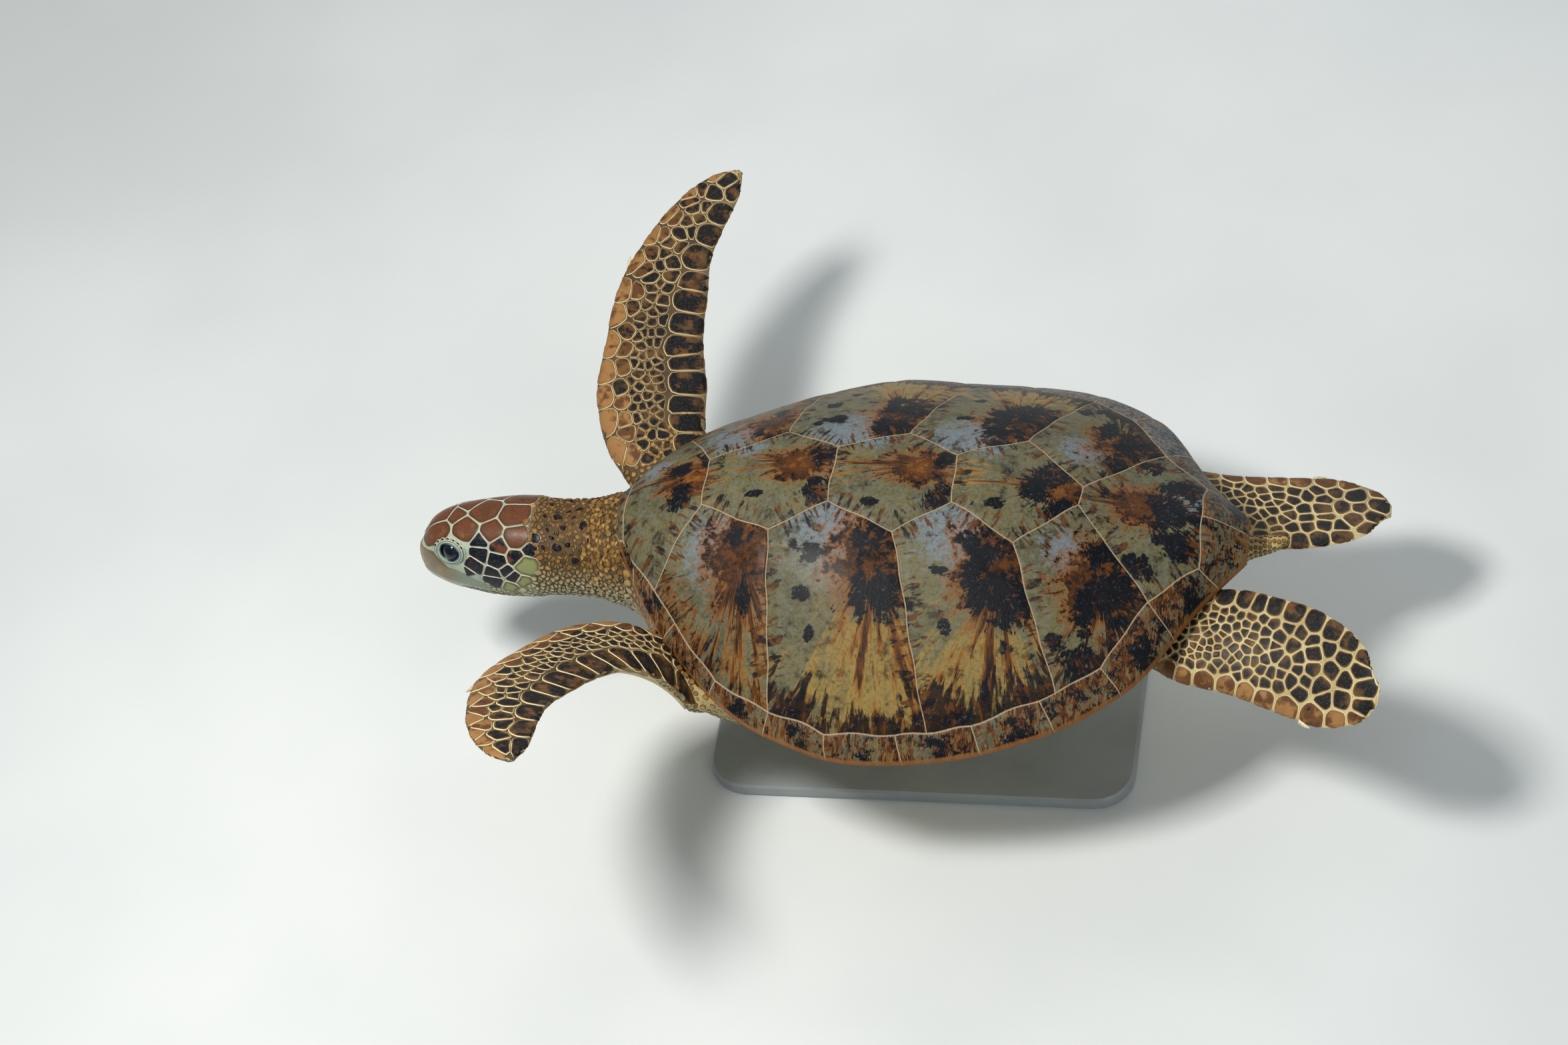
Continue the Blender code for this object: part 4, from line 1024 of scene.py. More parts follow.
def eyeFrame(side):
    # centre of the ball, forward along the face, up over it, and out of the socket
    center = headPlace(eye["behind"], eye["left"] * side, eye["up"])
    bearing = math.atan2(eye["left"] * side, eye["up"] + .002)
    points, normals = withNormals(headSurface, np.array([eye["behind"]]), np.array([bearing]), 1)
    out = normals[0] * np.sign(normals[0] @ (points[0] - center))
    ahead = unit(np.array([-1.0, 0, 0]) + out * out[0])
    over = np.cross(ahead, out)
    over = over * np.sign(over[2])
    return center, ahead, over, out


def headUnder(side, center, ahead, over, out):
    # quadratic through the head's surface near the eye, in the eye's own frame
    d, bearing = np.meshgrid(np.linspace(.028, .088, 25), np.radians(np.linspace(28, 86, 25)) * side)
    local = headSurface(d, bearing).reshape(-1, 3) - center
    x, y, z = local @ ahead, local @ over, local @ out
    near = x * x + y * y < .030 ** 2

    def terms(x, y):
        return np.stack([1 + 0 * x, x, y, x * x, x * y, y * y], -1)

    fit = np.linalg.lstsq(terms(x[near], y[near]), z[near], rcond=None)[0]
    return lambda x, y: terms(x, y) @ fit


def slabMesh(top, bottom, closed=False):
    # closed solid between two grids of the same size; closed joins the last column to the first
    rows, columns = top.shape[:2]
    count = rows * columns
    points = np.concatenate([top.reshape(-1, 3), bottom.reshape(-1, 3)])
    quads = [gridQuads(rows, columns, closed), gridQuads(rows, columns, closed, count)[:, ::-1]]
    grid = np.arange(count).reshape(rows, columns)
    if closed:
        borders = [np.append(grid[0], grid[0][0]), np.append(grid[-1], grid[-1][0])[::-1]]
    else:
        borders = [grid[0], grid[-1][::-1], grid[:, -1], grid[::-1, 0]]
    for border in borders:
        a, b = border[:-1], border[1:]
        quads.append(np.stack([b, a, a + count, b + count], -1))
    return outwards(points, np.concatenate(quads), np.zeros((0, 3), int))[0], points


def slitPlace(theta):
    # the slit between the lids: an ellipse, pointed a little to the rear
    x, y = eye["opening"]
    return x * np.cos(theta) + .0016, y * np.sin(theta) * (1 + .12 * np.cos(theta)) - .0014


def lidRidge(x, y):
    # wrinkles follow the slit: 1 on a ridge, -1 between two; and how far off the slit is
    share = np.hypot(x / eye["opening"][0], y / eye["opening"][1])
    gap = (share - 1) * eye["opening"][1]
    return np.cos(2 * np.pi * gap / eye["wrinkle"] + .8 * np.sin(2 * np.arctan2(y, x))), gap


def lidGrid(side):
    # lids from the slit to the cheek: on the ball at the slit, sunk in the head at the border
    center, ahead, over, out = eyeFrame(side)
    under = headUnder(side, center, ahead, over, out)
    theta = turns(84)[None]
    share = (np.linspace(0, 1, 30) ** 1.1)[:, None]
    x0, y0 = slitPlace(theta)
    x1, y1 = eye["lid"][0] * np.cos(theta), eye["lid"][1] * np.sin(theta) + eye["lidRise"]
    x, y = x0 + (x1 - x0) * share, y0 + (y1 - y0) * share
    ball = np.sqrt(np.clip(eye["radius"] ** 2 - x0 ** 2 - y0 ** 2, .0085 ** 2, None)) + .0012
    flesh = under(x, y)
    rise = ease(-.35, .55, share)
    high = ball * (1 - rise) + (flesh + .0004) * rise
    high = high + .0016 * np.sin(np.pi * np.clip(share * 1.25, 0, 1)) ** 1.2
    ridge, _ = lidRidge(x, y)
    high = high + .00045 * ridge * ease(.04, .12, share) * ease(1, .75, share)
    high = high - .0032 * ease(.82, 1.0, share) - .0007 * ease(.06, 0, share)
    low = high - .0042

    def lay(z):
        return center + x[..., None] * ahead + y[..., None] * over + z[..., None] * out

    return lay(high), lay(low)


def sinkSockets(points):
    # the head's skin drops behind the ball inside each pair of lids
    for side in (1, -1):
        center, ahead, over, out = eyeFrame(side)
        local = points - center
        x, y, z = local @ ahead, local @ over, local @ out
        share = np.hypot(x / (eye["lid"][0] - .006), (y - .001) / (eye["lid"][1] - .0035))
        sink = eye["socket"] * ease(1.0, .74, share) * (z > 0) * (np.linalg.norm(local, axis=-1) < .035)
        points = points - sink[..., None] * out
    return points


def buildEye(side, word):
    # ball seen through the lids: a cap of 100 degrees about the axis, closed behind
    center, ahead, over, out = eyeFrame(side)
    angle, turn = np.linspace(.02, 2.9, 40)[:, None], turns(48)[None]
    radius = eye["radius"] + .0005 * np.exp(-(angle / .5) ** 2)       # cornea stands proud
    ball = np.stack([np.sin(angle) * np.cos(turn), np.sin(angle) * np.sin(turn),
                     np.cos(angle) + 0 * turn], -1) @ np.stack([ahead, over, out])
    angles = np.concatenate([np.repeat(angle.ravel(), turn.size), [0, np.pi]])
    settle(makePiece("eye_ball_" + word, *loftMesh(center + ball * radius[..., None]), eyeLook,
                     {"angle": angles}), "eye", "eye_" + word)


# One skin
blades = {name: walkBlade(name) for name in bladePoses}
skinBuild = {"spread": 9, "fade": .88, "rounds": 24, "pull": .6, "clearBack": .0018, "clearBelly": .0012}


def skinParts():
    # closed forms of the flesh, sunk by the coat's depth
    inset = body["coatDepth"]
    cap = -headShape["noseDepth"] * np.cos(np.linspace(.25, np.pi / 2, 5, endpoint=False))
    d = np.concatenate([cap, np.linspace(0, .19, 86), np.linspace(.19, headShape["neckEnd"], 36)[1:]])
    d = np.maximum(d, -headShape["noseDepth"] * .97)
    parts = {"head": loftMesh(sinkSockets(headSurface(d[:, None], turns(152)[None], -inset))),
             "trunk": loftMesh(trunkRings(84, 128, inset)),
             "tail": loftMesh(tailRings(34, 36, inset))}
    for name, blade in blades.items():
        count = 130 if name.startswith("front") else 84
        t = np.concatenate([[-1, -.75, -.5, -.25], 1 - (1 - np.linspace(0, 1, count)) ** 1.15])
        parts[name] = loftMesh(bladeRing(blade, t[:, None], turns(60)[None], inset))
    for side, word in ((1, "left"), (-1, "right")):
        quads, points = slabMesh(*lidGrid(side), closed=True)
        parts["lid_" + word] = (points, quads, np.zeros((0, 3), int))
    return parts


def shellLimits(points):
    # how high and how low the flesh may reach: under the carapace and over the plastron,
    # and free again outside their rims, by 2.5 times the distance from them
    plan = points[:, :2] - np.array([body["shellFront"], 0])
    s = plan[:, 0] / shellLength

    def free(halfWidth, front, rear):
        beside = np.maximum(np.abs(plan[:, 1]) - halfWidth(s) * shellLength, 0)
        return 2.5 * np.hypot(beside, np.maximum(np.maximum(front - s, s - rear), 0) * shellLength)

    roof = shellHeight(plan) - body["shellThickness"] - skinBuild["clearBack"] + free(rimHalfWidth, 0, 1)
    floor = (plastronHeight(plan) + body["plastronThickness"] + skinBuild["clearBelly"]
             - free(plastronWide, plastronShape["seams"][0], plastronShape["seams"][-1]))
    return roof + body["rimPlane"], floor + body["rimPlane"]


def neighbourMean(values, edges, degree):
    # mean of every point's neighbours along the edges
    a, b = edges.T
    total = [np.bincount(a, column[b], len(values)) + np.bincount(b, column[a], len(values))
             for column in values.T]
    return np.stack(total, -1) / degree[:, None]


def uniteParts(parts):
    # one mesh from the closed parts; each face keeps its part's number as its material index
    scene = bpy.context.scene.collection
    collection = bpy.data.collections.new("skinParts")
    scene.children.link(collection)
    objects = []
    for index, (name, arrays) in enumerate(parts.items()):
        part = makePiece("part_" + name, *arrays, skinLook)
        scene.objects.unlink(part)
        collection.objects.link(part)
        for _ in range(index):
            part.data.materials.append(skinLook)
        part.data.polygons.foreach_set("material_index", np.full(len(part.data.polygons), index))
        objects.append(part)
    trunk = objects[1]                                 # the trunk carries the rest
    collection.objects.unlink(trunk)
    scene.objects.link(trunk)
    trunk.data.materials.clear()
    for _ in objects:
        trunk.data.materials.append(skinLook)
    union = trunk.modifiers.new("union", "BOOLEAN")
    union.operation, union.operand_type, union.collection = "UNION", "COLLECTION", collection
    union.solver = "EXACT"
    union.material_mode = "INDEX"
    graph = bpy.context.evaluated_depsgraph_get()
    mesh = bpy.data.meshes.new_from_object(trunk.evaluated_get(graph))
    for part in objects:
        bpy.data.objects.remove(part, do_unlink=True)
    bpy.data.collections.remove(collection)
    return mesh


def buildSkin():
    # union of the parts, then the joints between them are eased like flesh over a shoulder
    parts = skinParts()
    mesh = uniteParts(parts)
    count = len(mesh.vertices)
    points = readMesh(mesh.vertices, "co", 3)
    edges = readMesh(mesh.edges, "vertices", 2, int)
    degree = np.maximum(np.bincount(edges.ravel(), minlength=count), 1)
    corners = readMesh(mesh.loops, "vertex_index", kind=int)
    cornerKind = np.repeat(readMesh(mesh.polygons, "material_index", kind=int),
                           readMesh(mesh.polygons, "loop_total", kind=int))
    low, high = np.full(count, 99), np.full(count, -1)
    np.minimum.at(low, corners, cornerKind)
    np.maximum.at(high, corners, cornerKind)
    lidKind = list(parts).index("lid_left")
    weight = ((low != high) & (high < lidKind)).astype(float)     # 1 where two parts meet
    for _ in range(skinBuild["spread"]):
        spread = weight.copy()
        for a, b in (edges.T, edges.T[::-1]):
            np.maximum.at(spread, a, weight[b] * skinBuild["fade"])
        weight = spread
    pull = skinBuild["pull"] * weight[:, None]
    for _ in range(skinBuild["rounds"]):
        points = points + (neighbourMean(points, edges, degree) - points) * pull
    roof, floor = shellLimits(points)
    points[:, 2] = np.clip(points[:, 2], np.minimum(floor, roof), roof)
    mesh.vertices.foreach_set("co", points.ravel())
    mesh.polygons.foreach_set("material_index", np.zeros(len(mesh.polygons), int))
    mesh.materials.clear()
    mesh.materials.append(skinLook)
    mesh.update()
    mesh.shade_smooth()
    piece = bpy.data.objects.new("skin", mesh)
    bpy.context.scene.collection.objects.link(piece)
    paintSkin(mesh, points, low >= lidKind)
    print("skin joined:", len(points), "points")
    return settle(piece, "scaled_skin", "head", "neck", "trunk", "tail",
                  *("flipper_" + name for name in blades))


def paintSkin(mesh, points, onLid):
    # warm on the upper neck and shoulders, green-cream below, grey-blue on the lids, with painted shade
    # between the lids' wrinkles and along their slit
    shell = points - place(0, 0, 0)
    near = ease(.16, .0, shell[:, 0]) * ease(-.075, -.02, shell[:, 2])
    under = ease(-.045, -.085, shell[:, 2])
    behind = shell[:, 0] - body["snoutX"]
    cheek = np.maximum(ease(.172, .158, behind), onLid)
    fold = np.zeros(len(points))
    for side in (1, -1):
        center, ahead, over, out = eyeFrame(side)
        local = points - center
        ridge, gap = lidRidge(local @ ahead, local @ over)
        # fold: painted shade between the wrinkles and along the slit
        fold = np.where(onLid & (np.linalg.norm(local, axis=1) < .035),
                        ease(.1, -.8, ridge) * .85 + .9 * ease(.0014, .0004, gap), fold)
    fields = {"warm": near, "under": under, "cheek": cheek, "fold": fold}
    for key, values in fields.items():
        mesh.attributes.new(key, "FLOAT", "POINT").data.foreach_set("value", values)


skin = buildSkin()
for eyeSide, eyeWord in ((1, "left"), (-1, "right")):
    buildEye(eyeSide, eyeWord)
print("eyes set")


# Coat: each scale is a solid plate on the skin
coat = {
    "steps": [0, .0003, .0009, .0020], "stepShares": [0, .08, .22, .42],   # in from the border
    "stepLift": [-.35, .55, .90, 1.0], "shares": [.60, .30], "crown": 1.12,
    "gap": .0005, "corner": 9, "sunk": .0016, "patch": .0015, "search": .014, "facing": .45,
}


def growCells(offsets, bounds, least, most, count, corner=coat["corner"]):
    # border of a cell in polar form: (sum over its neighbours of
    # (cos(theta - phi) / bound) to the power p) to the power -1/p, a polygon with soft corners
    theta = turns(count)
    phi = np.arctan2(offsets[..., 1], offsets[..., 0])
    bounds = np.maximum(bounds, 1e-4)
    facing = np.clip(np.cos(theta - phi[..., None]) / bounds[..., None], 0, None)
    reach = (facing ** corner).sum(axis=1) + most[:, None] ** -float(corner)
    return theta, np.maximum(reach ** (-1 / corner), least[:, None])


def chartCells(sites, ghosts, count=20, nearest=14, corner=coat["corner"]):
    # power diagram on a chart: two scales meet where distance squared less radius squared agree;
    # a ghost with a negative radius is a wall through its own place
    n = len(sites["a"])
    a, b = (np.concatenate([sites[k], ghosts[:, i]]) for i, k in enumerate(("a", "b")))
    radius = np.concatenate([sites["r"], np.maximum(ghosts[:, 2], 0)])
    wall = np.concatenate([np.zeros(n, bool), ghosts[:, 2] < 0])
    dx = a[None] - a[:n, None]
    dy = (b[None] - b[:n, None]) * sites["stretch"][:, None]
    far = np.hypot(dx, dy)
    far[far < 1e-6] = 9
    bound = (far ** 2 + sites["r"][:, None] ** 2 - radius[None] ** 2) / (2 * far) - coat["gap"] / 2
    bound = np.where(wall[None], far - coat["gap"], bound)
    order = np.argpartition(bound, nearest, axis=1)[:, :nearest]
    pick = (np.arange(n)[:, None], order)
    most = sites.get("most", sites["r"] * 1.9)
    return growCells(np.stack([dx[pick], dy[pick]], -1), bound[pick], sites["r"] * .3, most, count,
                     corner)


def coatPiece(name, theta, reach, high, lay, fields, material, unwrap, small=False):
    # rings of every plate at once: sunk border, rounded shoulder, low crown, closed below;
    # then each plate is set down on the skin, and left out where the skin is not near
    n, count = reach.shape
    rows = [0, 2, 3] if small else range(len(coat["steps"]))
    shares = [] if small else coat["shares"]
    radii = ([reach - np.minimum(coat["steps"][i], reach * coat["stepShares"][i]) for i in rows]
             + [reach * share for share in shares])
    lifts = ([coat["stepLift"][i] for i in rows]
             + [1 + (coat["crown"] - 1) * (1 - share) for share in shares])
    radii = np.array(radii).transpose(1, 0, 2)
    lifts = np.array(lifts)[None, :, None] * high[:, None, None] - body["coatDepth"]
    lifts = np.broadcast_to(lifts, radii.shape)
    x = (radii * np.cos(theta)).reshape(n, -1)
    y = (radii * np.sin(theta)).reshape(n, -1)
    x, y = (np.concatenate([flat, np.zeros((n, 2))], 1) for flat in (x, y))
    ends = np.stack([high * coat["crown"], 0 * high - coat["sunk"]], 1) - body["coatDepth"]
    lift = np.concatenate([lifts.reshape(n, -1), ends], 1)
    points, normals = lay(x, y)
    seat = points[:, -1] - normals[:, -1] * body["coatDepth"]
    found = [skinTree.find_nearest(Vector(spot), coat["search"]) for spot in seat]
    keep = np.array([hit[0] is not None and Vector(out).dot(hit[1]) > coat["facing"]
                     for hit, out in zip(found, normals[:, -1])])
    ground = np.array([hit[0] if hit[0] is not None else spot for hit, spot in zip(found, seat)])
    points = (points + normals * lift[..., None] + (ground - seat)[:, None])[keep]
    n, size = len(points), points.shape[1]
    rings = (size - 2) // count
    hub = rings * count
    quads = gridQuads(rings, count, closed=True)
    tris = np.concatenate([fan(hub - count + np.arange(count), hub),
                           fan(np.arange(count), hub + 1, -1)])
    first = (np.arange(n) * size)[:, None, None]
    quads, tris = (quads[None] + first).reshape(-1, 4), (tris[None] + first).reshape(-1, 3)
    quads, tris = outwards(points, quads, tris)
    depth = (reach[:, None] - radii).reshape(len(reach), -1)
    depth = np.concatenate([depth, reach.mean(axis=1)[:, None], 0 * high[:, None]], 1) * 1000
    values = {key: np.repeat(np.asarray(v)[keep], size) for key, v in fields.items()}
    values["edge"] = depth[keep].ravel()
    spread = coat["patch"] / np.maximum(reach.max(axis=1), 1e-4)[:, None]
    roots = unwrap[keep]
    low, wide = roots.min(axis=0), np.ptp(roots, axis=0)
    roots = .01 + .98 * (roots - low) / np.maximum(wide, 1e-6)
    patch = roots[:, None] + np.stack([x * spread, y * spread], -1)[keep]
    piece = makePiece(name, points, quads, tris, material, values, ("OFBake", patch.reshape(-1, 2)))
    coatPieces.append(settle(piece, "scaled_skin"))
    print(name, n, "scales")


def treeOf(*pieces):
    # one search tree over several meshes, for rays and nearest points
    corners, faces, first = [], [], 0
    for piece in pieces:
        mesh = piece.data
        corners += readMesh(mesh.vertices, "co", 3).tolist()
        faces += [[first + i for i in face.vertices] for face in mesh.polygons]
        first += len(mesh.vertices)
    return BVHTree.FromPolygons(corners, faces)


skinTree = treeOf(skin)


def bareSpots(spots, outs, cover, reach):
    # which spots have no scale over them, looking outwards from 3 mm below
    return np.array([cover.ray_cast(Vector(spot - out * .003), Vector(out), reach)[0] is None
                     for spot, out in zip(spots, outs)])


def scatterSites(points, spacing):
    # dart throwing in a given order: a point is kept when no kept one is nearer than its spacing
    cells, kept = {}, []
    size = float(spacing.max())
    keys = np.floor(points / size).astype(int).tolist()
    around = [(i, j, k) for i in (-1, 0, 1) for j in (-1, 0, 1) for k in (-1, 0, 1)]
    for index, (i, j, k) in enumerate(keys):
        spot, limit = points[index], spacing[index]
        close = [q for di, dj, dk in around for q in cells.get((i + di, j + dj, k + dk), ())]
        if close and np.min(np.sum((points[close] - spot) ** 2, axis=1)) < limit ** 2:
            continue
        cells.setdefault((i, j, k), []).append(index)
        kept.append(index)
    return np.array(kept)


# rows along the edges of a flipper: chord share where a row starts and ends, its span along the
# flipper, scale length at its start and end, tone (0 tan, 1 navy), spread of tone, pale border in
# mm, plate height, unevenness
flipperRows = {
    "front": [(0, .17, .04, .995, .036, .044, .10, .08, .9, .0010, .06),
              (.17, .31, .03, .93, .024, .034, .46, .28, .9, .0010, .16),
              (.62, 1.0, .03, .97, .026, .044, .72, .12, 1.0, .0011, .12)],
    "hind": [(0, .17, .05, .99, .022, .034, .30, .10, 1.0, .0010, .08),
             (.80, 1.0, .05, .96, .018, .030, .70, .22, .8, .0010, .12)],
}
# between the rows: chord shares, spacing at the root, in the middle and near the tip, tone, spread,
# pale border as a share of the spacing, plate height
flipperFields = {
    "front": (.31, .62, (.0115, .0115, .0215), .86, .18, .062, .0009),
    "hind": (.17, .80, (.0078, .0120, .0235), 1.0, .08, .056, .0009),
}


def flipperSites(blade, rows, field):
    # scales in rows along the edges, scattered between them; a row's radius is half its width
    parts = []
    for start, end, low, high, first, last, tone, spread, line, thick, uneven in rows:
        span = (high - low) * blade["length"]
        count = max(3, int(round(span / ((first + last) / 2))))
        share = (np.arange(count) + .5) / count
        bias = (last - first) / (last + first) * .9
        t = low + (high - low) * (share + bias * share * (share - 1))
        t = t + random.uniform(-1, 1, count) * (.10 + uneven) * span / count / blade["length"]
        t = np.clip(t, low, high)
        length = first + (last - first) * share
        *_, front, rear, _ = bladeFrame(blade, t)
        chord = front + rear
        middle = (start + end) / 2
        half = (end - start) / 2 * chord
        b = front - middle * chord + random.uniform(-1, 1, count) * uneven * 1.2 * half
        half = half * (1 + random.uniform(-1, 1, count) * uneven * .7)
        shade = np.clip(tone + spread * random.uniform(-1, 1, count), 0, 1)
        parts.append(np.stack([t * blade["length"], b, half, np.maximum(length * .8, half * 1.5), shade,
                               np.full(count, line), np.full(count, thick), front, rear], -1))
    start, end, sizes, tone, spread, line, thick = field
    t = random.uniform(.03, .95, 6000)
    *_, front, rear, _ = bladeFrame(blade, t)
    spacing = np.interp(t, [.05, .45, .9], sizes) * random.uniform(.72, 1.3, len(t))
    chord = front + rear
    b = front - (start + (end - start) * random.uniform(0, 1, len(t))) * chord
    clear = (b < front - start * chord - .3 * spacing) & (b > front - end * chord + .3 * spacing)
    t, b, spacing, front, rear = (values[clear] for values in (t, b, spacing, front, rear))
    spots = np.stack([t * blade["length"], b, b * 0], -1)
    kept = scatterSites(spots * [.80, 1, 1], spacing)
    count = len(kept)
    shade = np.clip(tone + spread * random.uniform(-1, 1, count), 0, 1)
    radius = spacing[kept] * .5
    parts.append(np.stack([spots[kept, 0], b[kept], radius, radius * 2.4, shade,
                           np.clip(line * spacing[kept] * 1000, .5, 1.2),
                           np.full(count, thick), front[kept], rear[kept]], -1))
    a, b, r, most, tone, line, thick, front, rear = np.concatenate(parts).T
    return dict(a=a, b=b, r=r, most=most, tone=tone, line=line, thick=thick, front=front, rear=rear,
                stretch=np.ones(len(a)))


def coatFlippers():
    for name, blade in blades.items():
        kind = name.split("_")[0]
        for up, word, material in ((1, "upper", flipperScale), (-1, "lower", flipperUnder)):
            sites = flipperSites(blade, flipperRows[kind], flipperFields[kind])
            a, b, r = sites["a"], sites["b"], sites["r"]
            wrap = .0018 * up                              # the upper scales turn round the edge
            ghosts = [np.stack([a, 2 * (sites["front"] + wrap) - b, r], -1),
                      np.stack([a, -2 * (sites["rear"] + wrap) - b, r], -1),
                      np.stack([2 * blade["length"] - a, b, r], -1)[a > .8 * blade["length"]]]
            theta, reach = chartCells(sites, np.concatenate(ghosts))
            surface = bladeFace(blade, up)

            def lay(x, y):
                return surface(np.clip(a[:, None] + x, 0, .999 * blade["length"]), b[:, None] + y)

            fields = dict(tone=sites["tone"] * (1 if up > 0 else .45), line=sites["line"])
            coatPiece(f"scales_{name}_{word}", theta, reach, sites["thick"], lay, fields, material,
                      np.stack([a, b], -1))


# plates of the head: distance behind the snout, bearing to the left in degrees, radius in mm,
# tone, pale border in mm. The middle pair of columns leans a little, as the real ones do.
headPlates = [(.100, -3, 22.5, .38, .7), (.0605, 1, 14.0, .42, .7)]
headPairs = [
    (.0375, 24.5, 18.0, .36, .7), (.0775, 23.5, 18.0, .35, .75), (.1445, 5, 23.0, .38, .7),
    (.115, 26.5, 14.5, .36, .7), (.1505, 33, 17.0, .30, .7), (.0995, 38.5, 9.0, .85, .9),
    (.127, 45, 10.5, .56, .9), (.0985, 54.5, 9.6, 1.0, .9), (.0885, 71, 11.0, .66, .9),
    (.123, 61.5, 10.8, .66, .9), (.149, 57.5, 10.2, .62, .9), (.167, 48, 6.5, .90, .8),
    (.1135, 80.5, 7.8, 1.0, .9), (.134, 76, 6.4, .95, .8), (.1425, 85, 7.4, .95, .8),
    (.112, 94, 9.4, 1.0, .9), (.0770, 88, 10.5, .95, .9), (.1605, 68, 13.0, .0, .8),
    (.134, 104.5, 8.0, .0, .8), (.1535, 92, 8.0, .0, .8), (.1745, 35, 4.2, .90, .7),
]
headMiddle = curveThrough([.02, .04, .10, .15, .18], [12, 12, -3, -10, -12])   # degrees
beakBorder = [(.0035, 0), (.0035, 10), (.0045, 21.5), (.0125, 35), (.022, 48.5), (.030, 60), (.037, 70),
              (.046, 80), (.055, 82), (.0645, 84.5), (.072, 88), (.0795, 92.5), (.090, 98.5), (.104, 104),
              (.119, 109), (.130, 116), (.142, 110)]
rearBorder = [(.166, -28), (.1675, -10), (.1665, 0), (.1645, 12), (.170, 22), (.1805, 30), (.1815, 42),
              (.182, 54), (.180, 66), (.178, 77), (.168, 88), (.160, 100)]


def coatHead():
    # plates meet along a power diagram over the head, walled by the beak, the lids and the neck
    plates = list(headPlates)
    for d, bearing, radius, tone, line in headPairs:
        lean = 2 * float(headMiddle(d)) * math.exp(-(bearing / 42) ** 2)
        plates += [(d, bearing, radius, tone, line), (d, lean - bearing, radius, tone, line)]
    d, bearing, radius, tone, line = np.array(plates).T
    bearing = np.radians(bearing)
    flat = headSurface(d, bearing) - headPlace(d, 0, -.003)
    stretch = np.linalg.norm(flat, axis=1)
    walls = [(x, side * y) for side in (1, -1) for x, y in beakBorder + rearBorder]
    for side in (1, -1):
        for turn in turns(16):
            walls.append((eye["behind"] + .001 - .0235 * math.cos(turn),
                          side * (53.0 - math.degrees(.0162 / .0535) * math.sin(turn))))
    ghosts = np.array([(x, math.radians(y), -1) for x, y in walls])
    sites = dict(a=d, b=bearing, r=radius / 1000, stretch=stretch)
    theta, reach = chartCells(sites, ghosts, count=36, nearest=22, corner=15)

    def lay(x, y):
        return withNormals(headSurface, d[:, None] + x, bearing[:, None] + y / stretch[:, None], -1)

    thick = np.where(radius > 12, .0013, .0011)
    coatPiece("scales_head", theta, reach, thick, lay, dict(tone=tone, line=line, pallor=(tone < .01) * .85),
              headScale, np.stack([d, bearing * .055], -1))


def coatBrows():
    # small scales that follow the upper border of each pair of lids
    turn = np.radians([22, 44, 66, 88, 110, 132, 154])
    for side, word in ((1, "right"), (-1, "left")):
        center, ahead, over, out = eyeFrame(side)
        x, y = eye["lid"][0] * .80 * np.cos(turn), eye["lid"][1] * .86 * np.sin(turn) + eye["lidRise"]
        under = headUnder(side, center, ahead, over, out)
        theta = turns(14)
        slope = theta - np.arctan2(y / eye["lid"][1] ** 2, x / eye["lid"][0] ** 2)[:, None]
        reach = 1 / np.hypot(np.cos(slope) / .0021, np.sin(slope) / .0031)

        def lay(u, v):
            spot = (center + (x[:, None] + u)[..., None] * ahead + (y[:, None] + v)[..., None] * over
                    + (under(x[:, None] + u, y[:, None] + v) + .001)[..., None] * out)
            return spot, np.broadcast_to(out, spot.shape)

        same = np.ones(len(turn))
        coatPiece(f"scales_brow_{word}", theta, reach, same * .0010, lay,
                  dict(tone=same * .62, line=same * .7), headScale, np.stack([x, y], -1))


# rings of small scales round the neck and under the chin: from and to behind the snout, spacing
# along and round, bearing limits in degrees, plate height
neckRings = [(.148, .303, .0037, .0125, 0, 180, .0009), (.058, .150, .0060, .0075, 100, 180, .0008)]
# dark round scales behind the head: distance behind the snout, bearing in degrees, radius in mm
neckDots = [(.187, -16, 3.6), (.190, 24, 3.0), (.199, 5, 4.8), (.207, -28, 3.8), (.211, 20, 3.8),
            (.219, 40, 3.2), (.226, -9, 3.6), (.236, 16, 5.0), (.243, -33, 3.2), (.247, 34, 2.8),
            (.203, 44, 5.0), (.228, 58, 4.2), (.183, 6, 2.8), (.196, 33, 2.6), (.213, -4, 3.0),
            (.186, 45, 2.8), (.186, -34, 3.0), (.222, 5, 2.8)]


def coatDots():
    # round scales, a little longer one way than the other
    d, bearing, radius = np.array(neckDots).T
    bearing, radius = np.radians(bearing), radius / 1000
    theta = turns(16)
    reach = 1.35 * radius[:, None] * (1 + .12 * np.cos(2 * theta + d[:, None] * 90))

    def lay(x, y):
        return withNormals(headSurface, d[:, None] + x, bearing[:, None] + y / .063, -1)

    same = np.ones(len(d))
    coatPiece("scales_neck_dots", theta, reach, same * .0021, lay, dict(tone=same, line=same * .8), dotScale,
              np.stack([d, bearing * .06], -1))


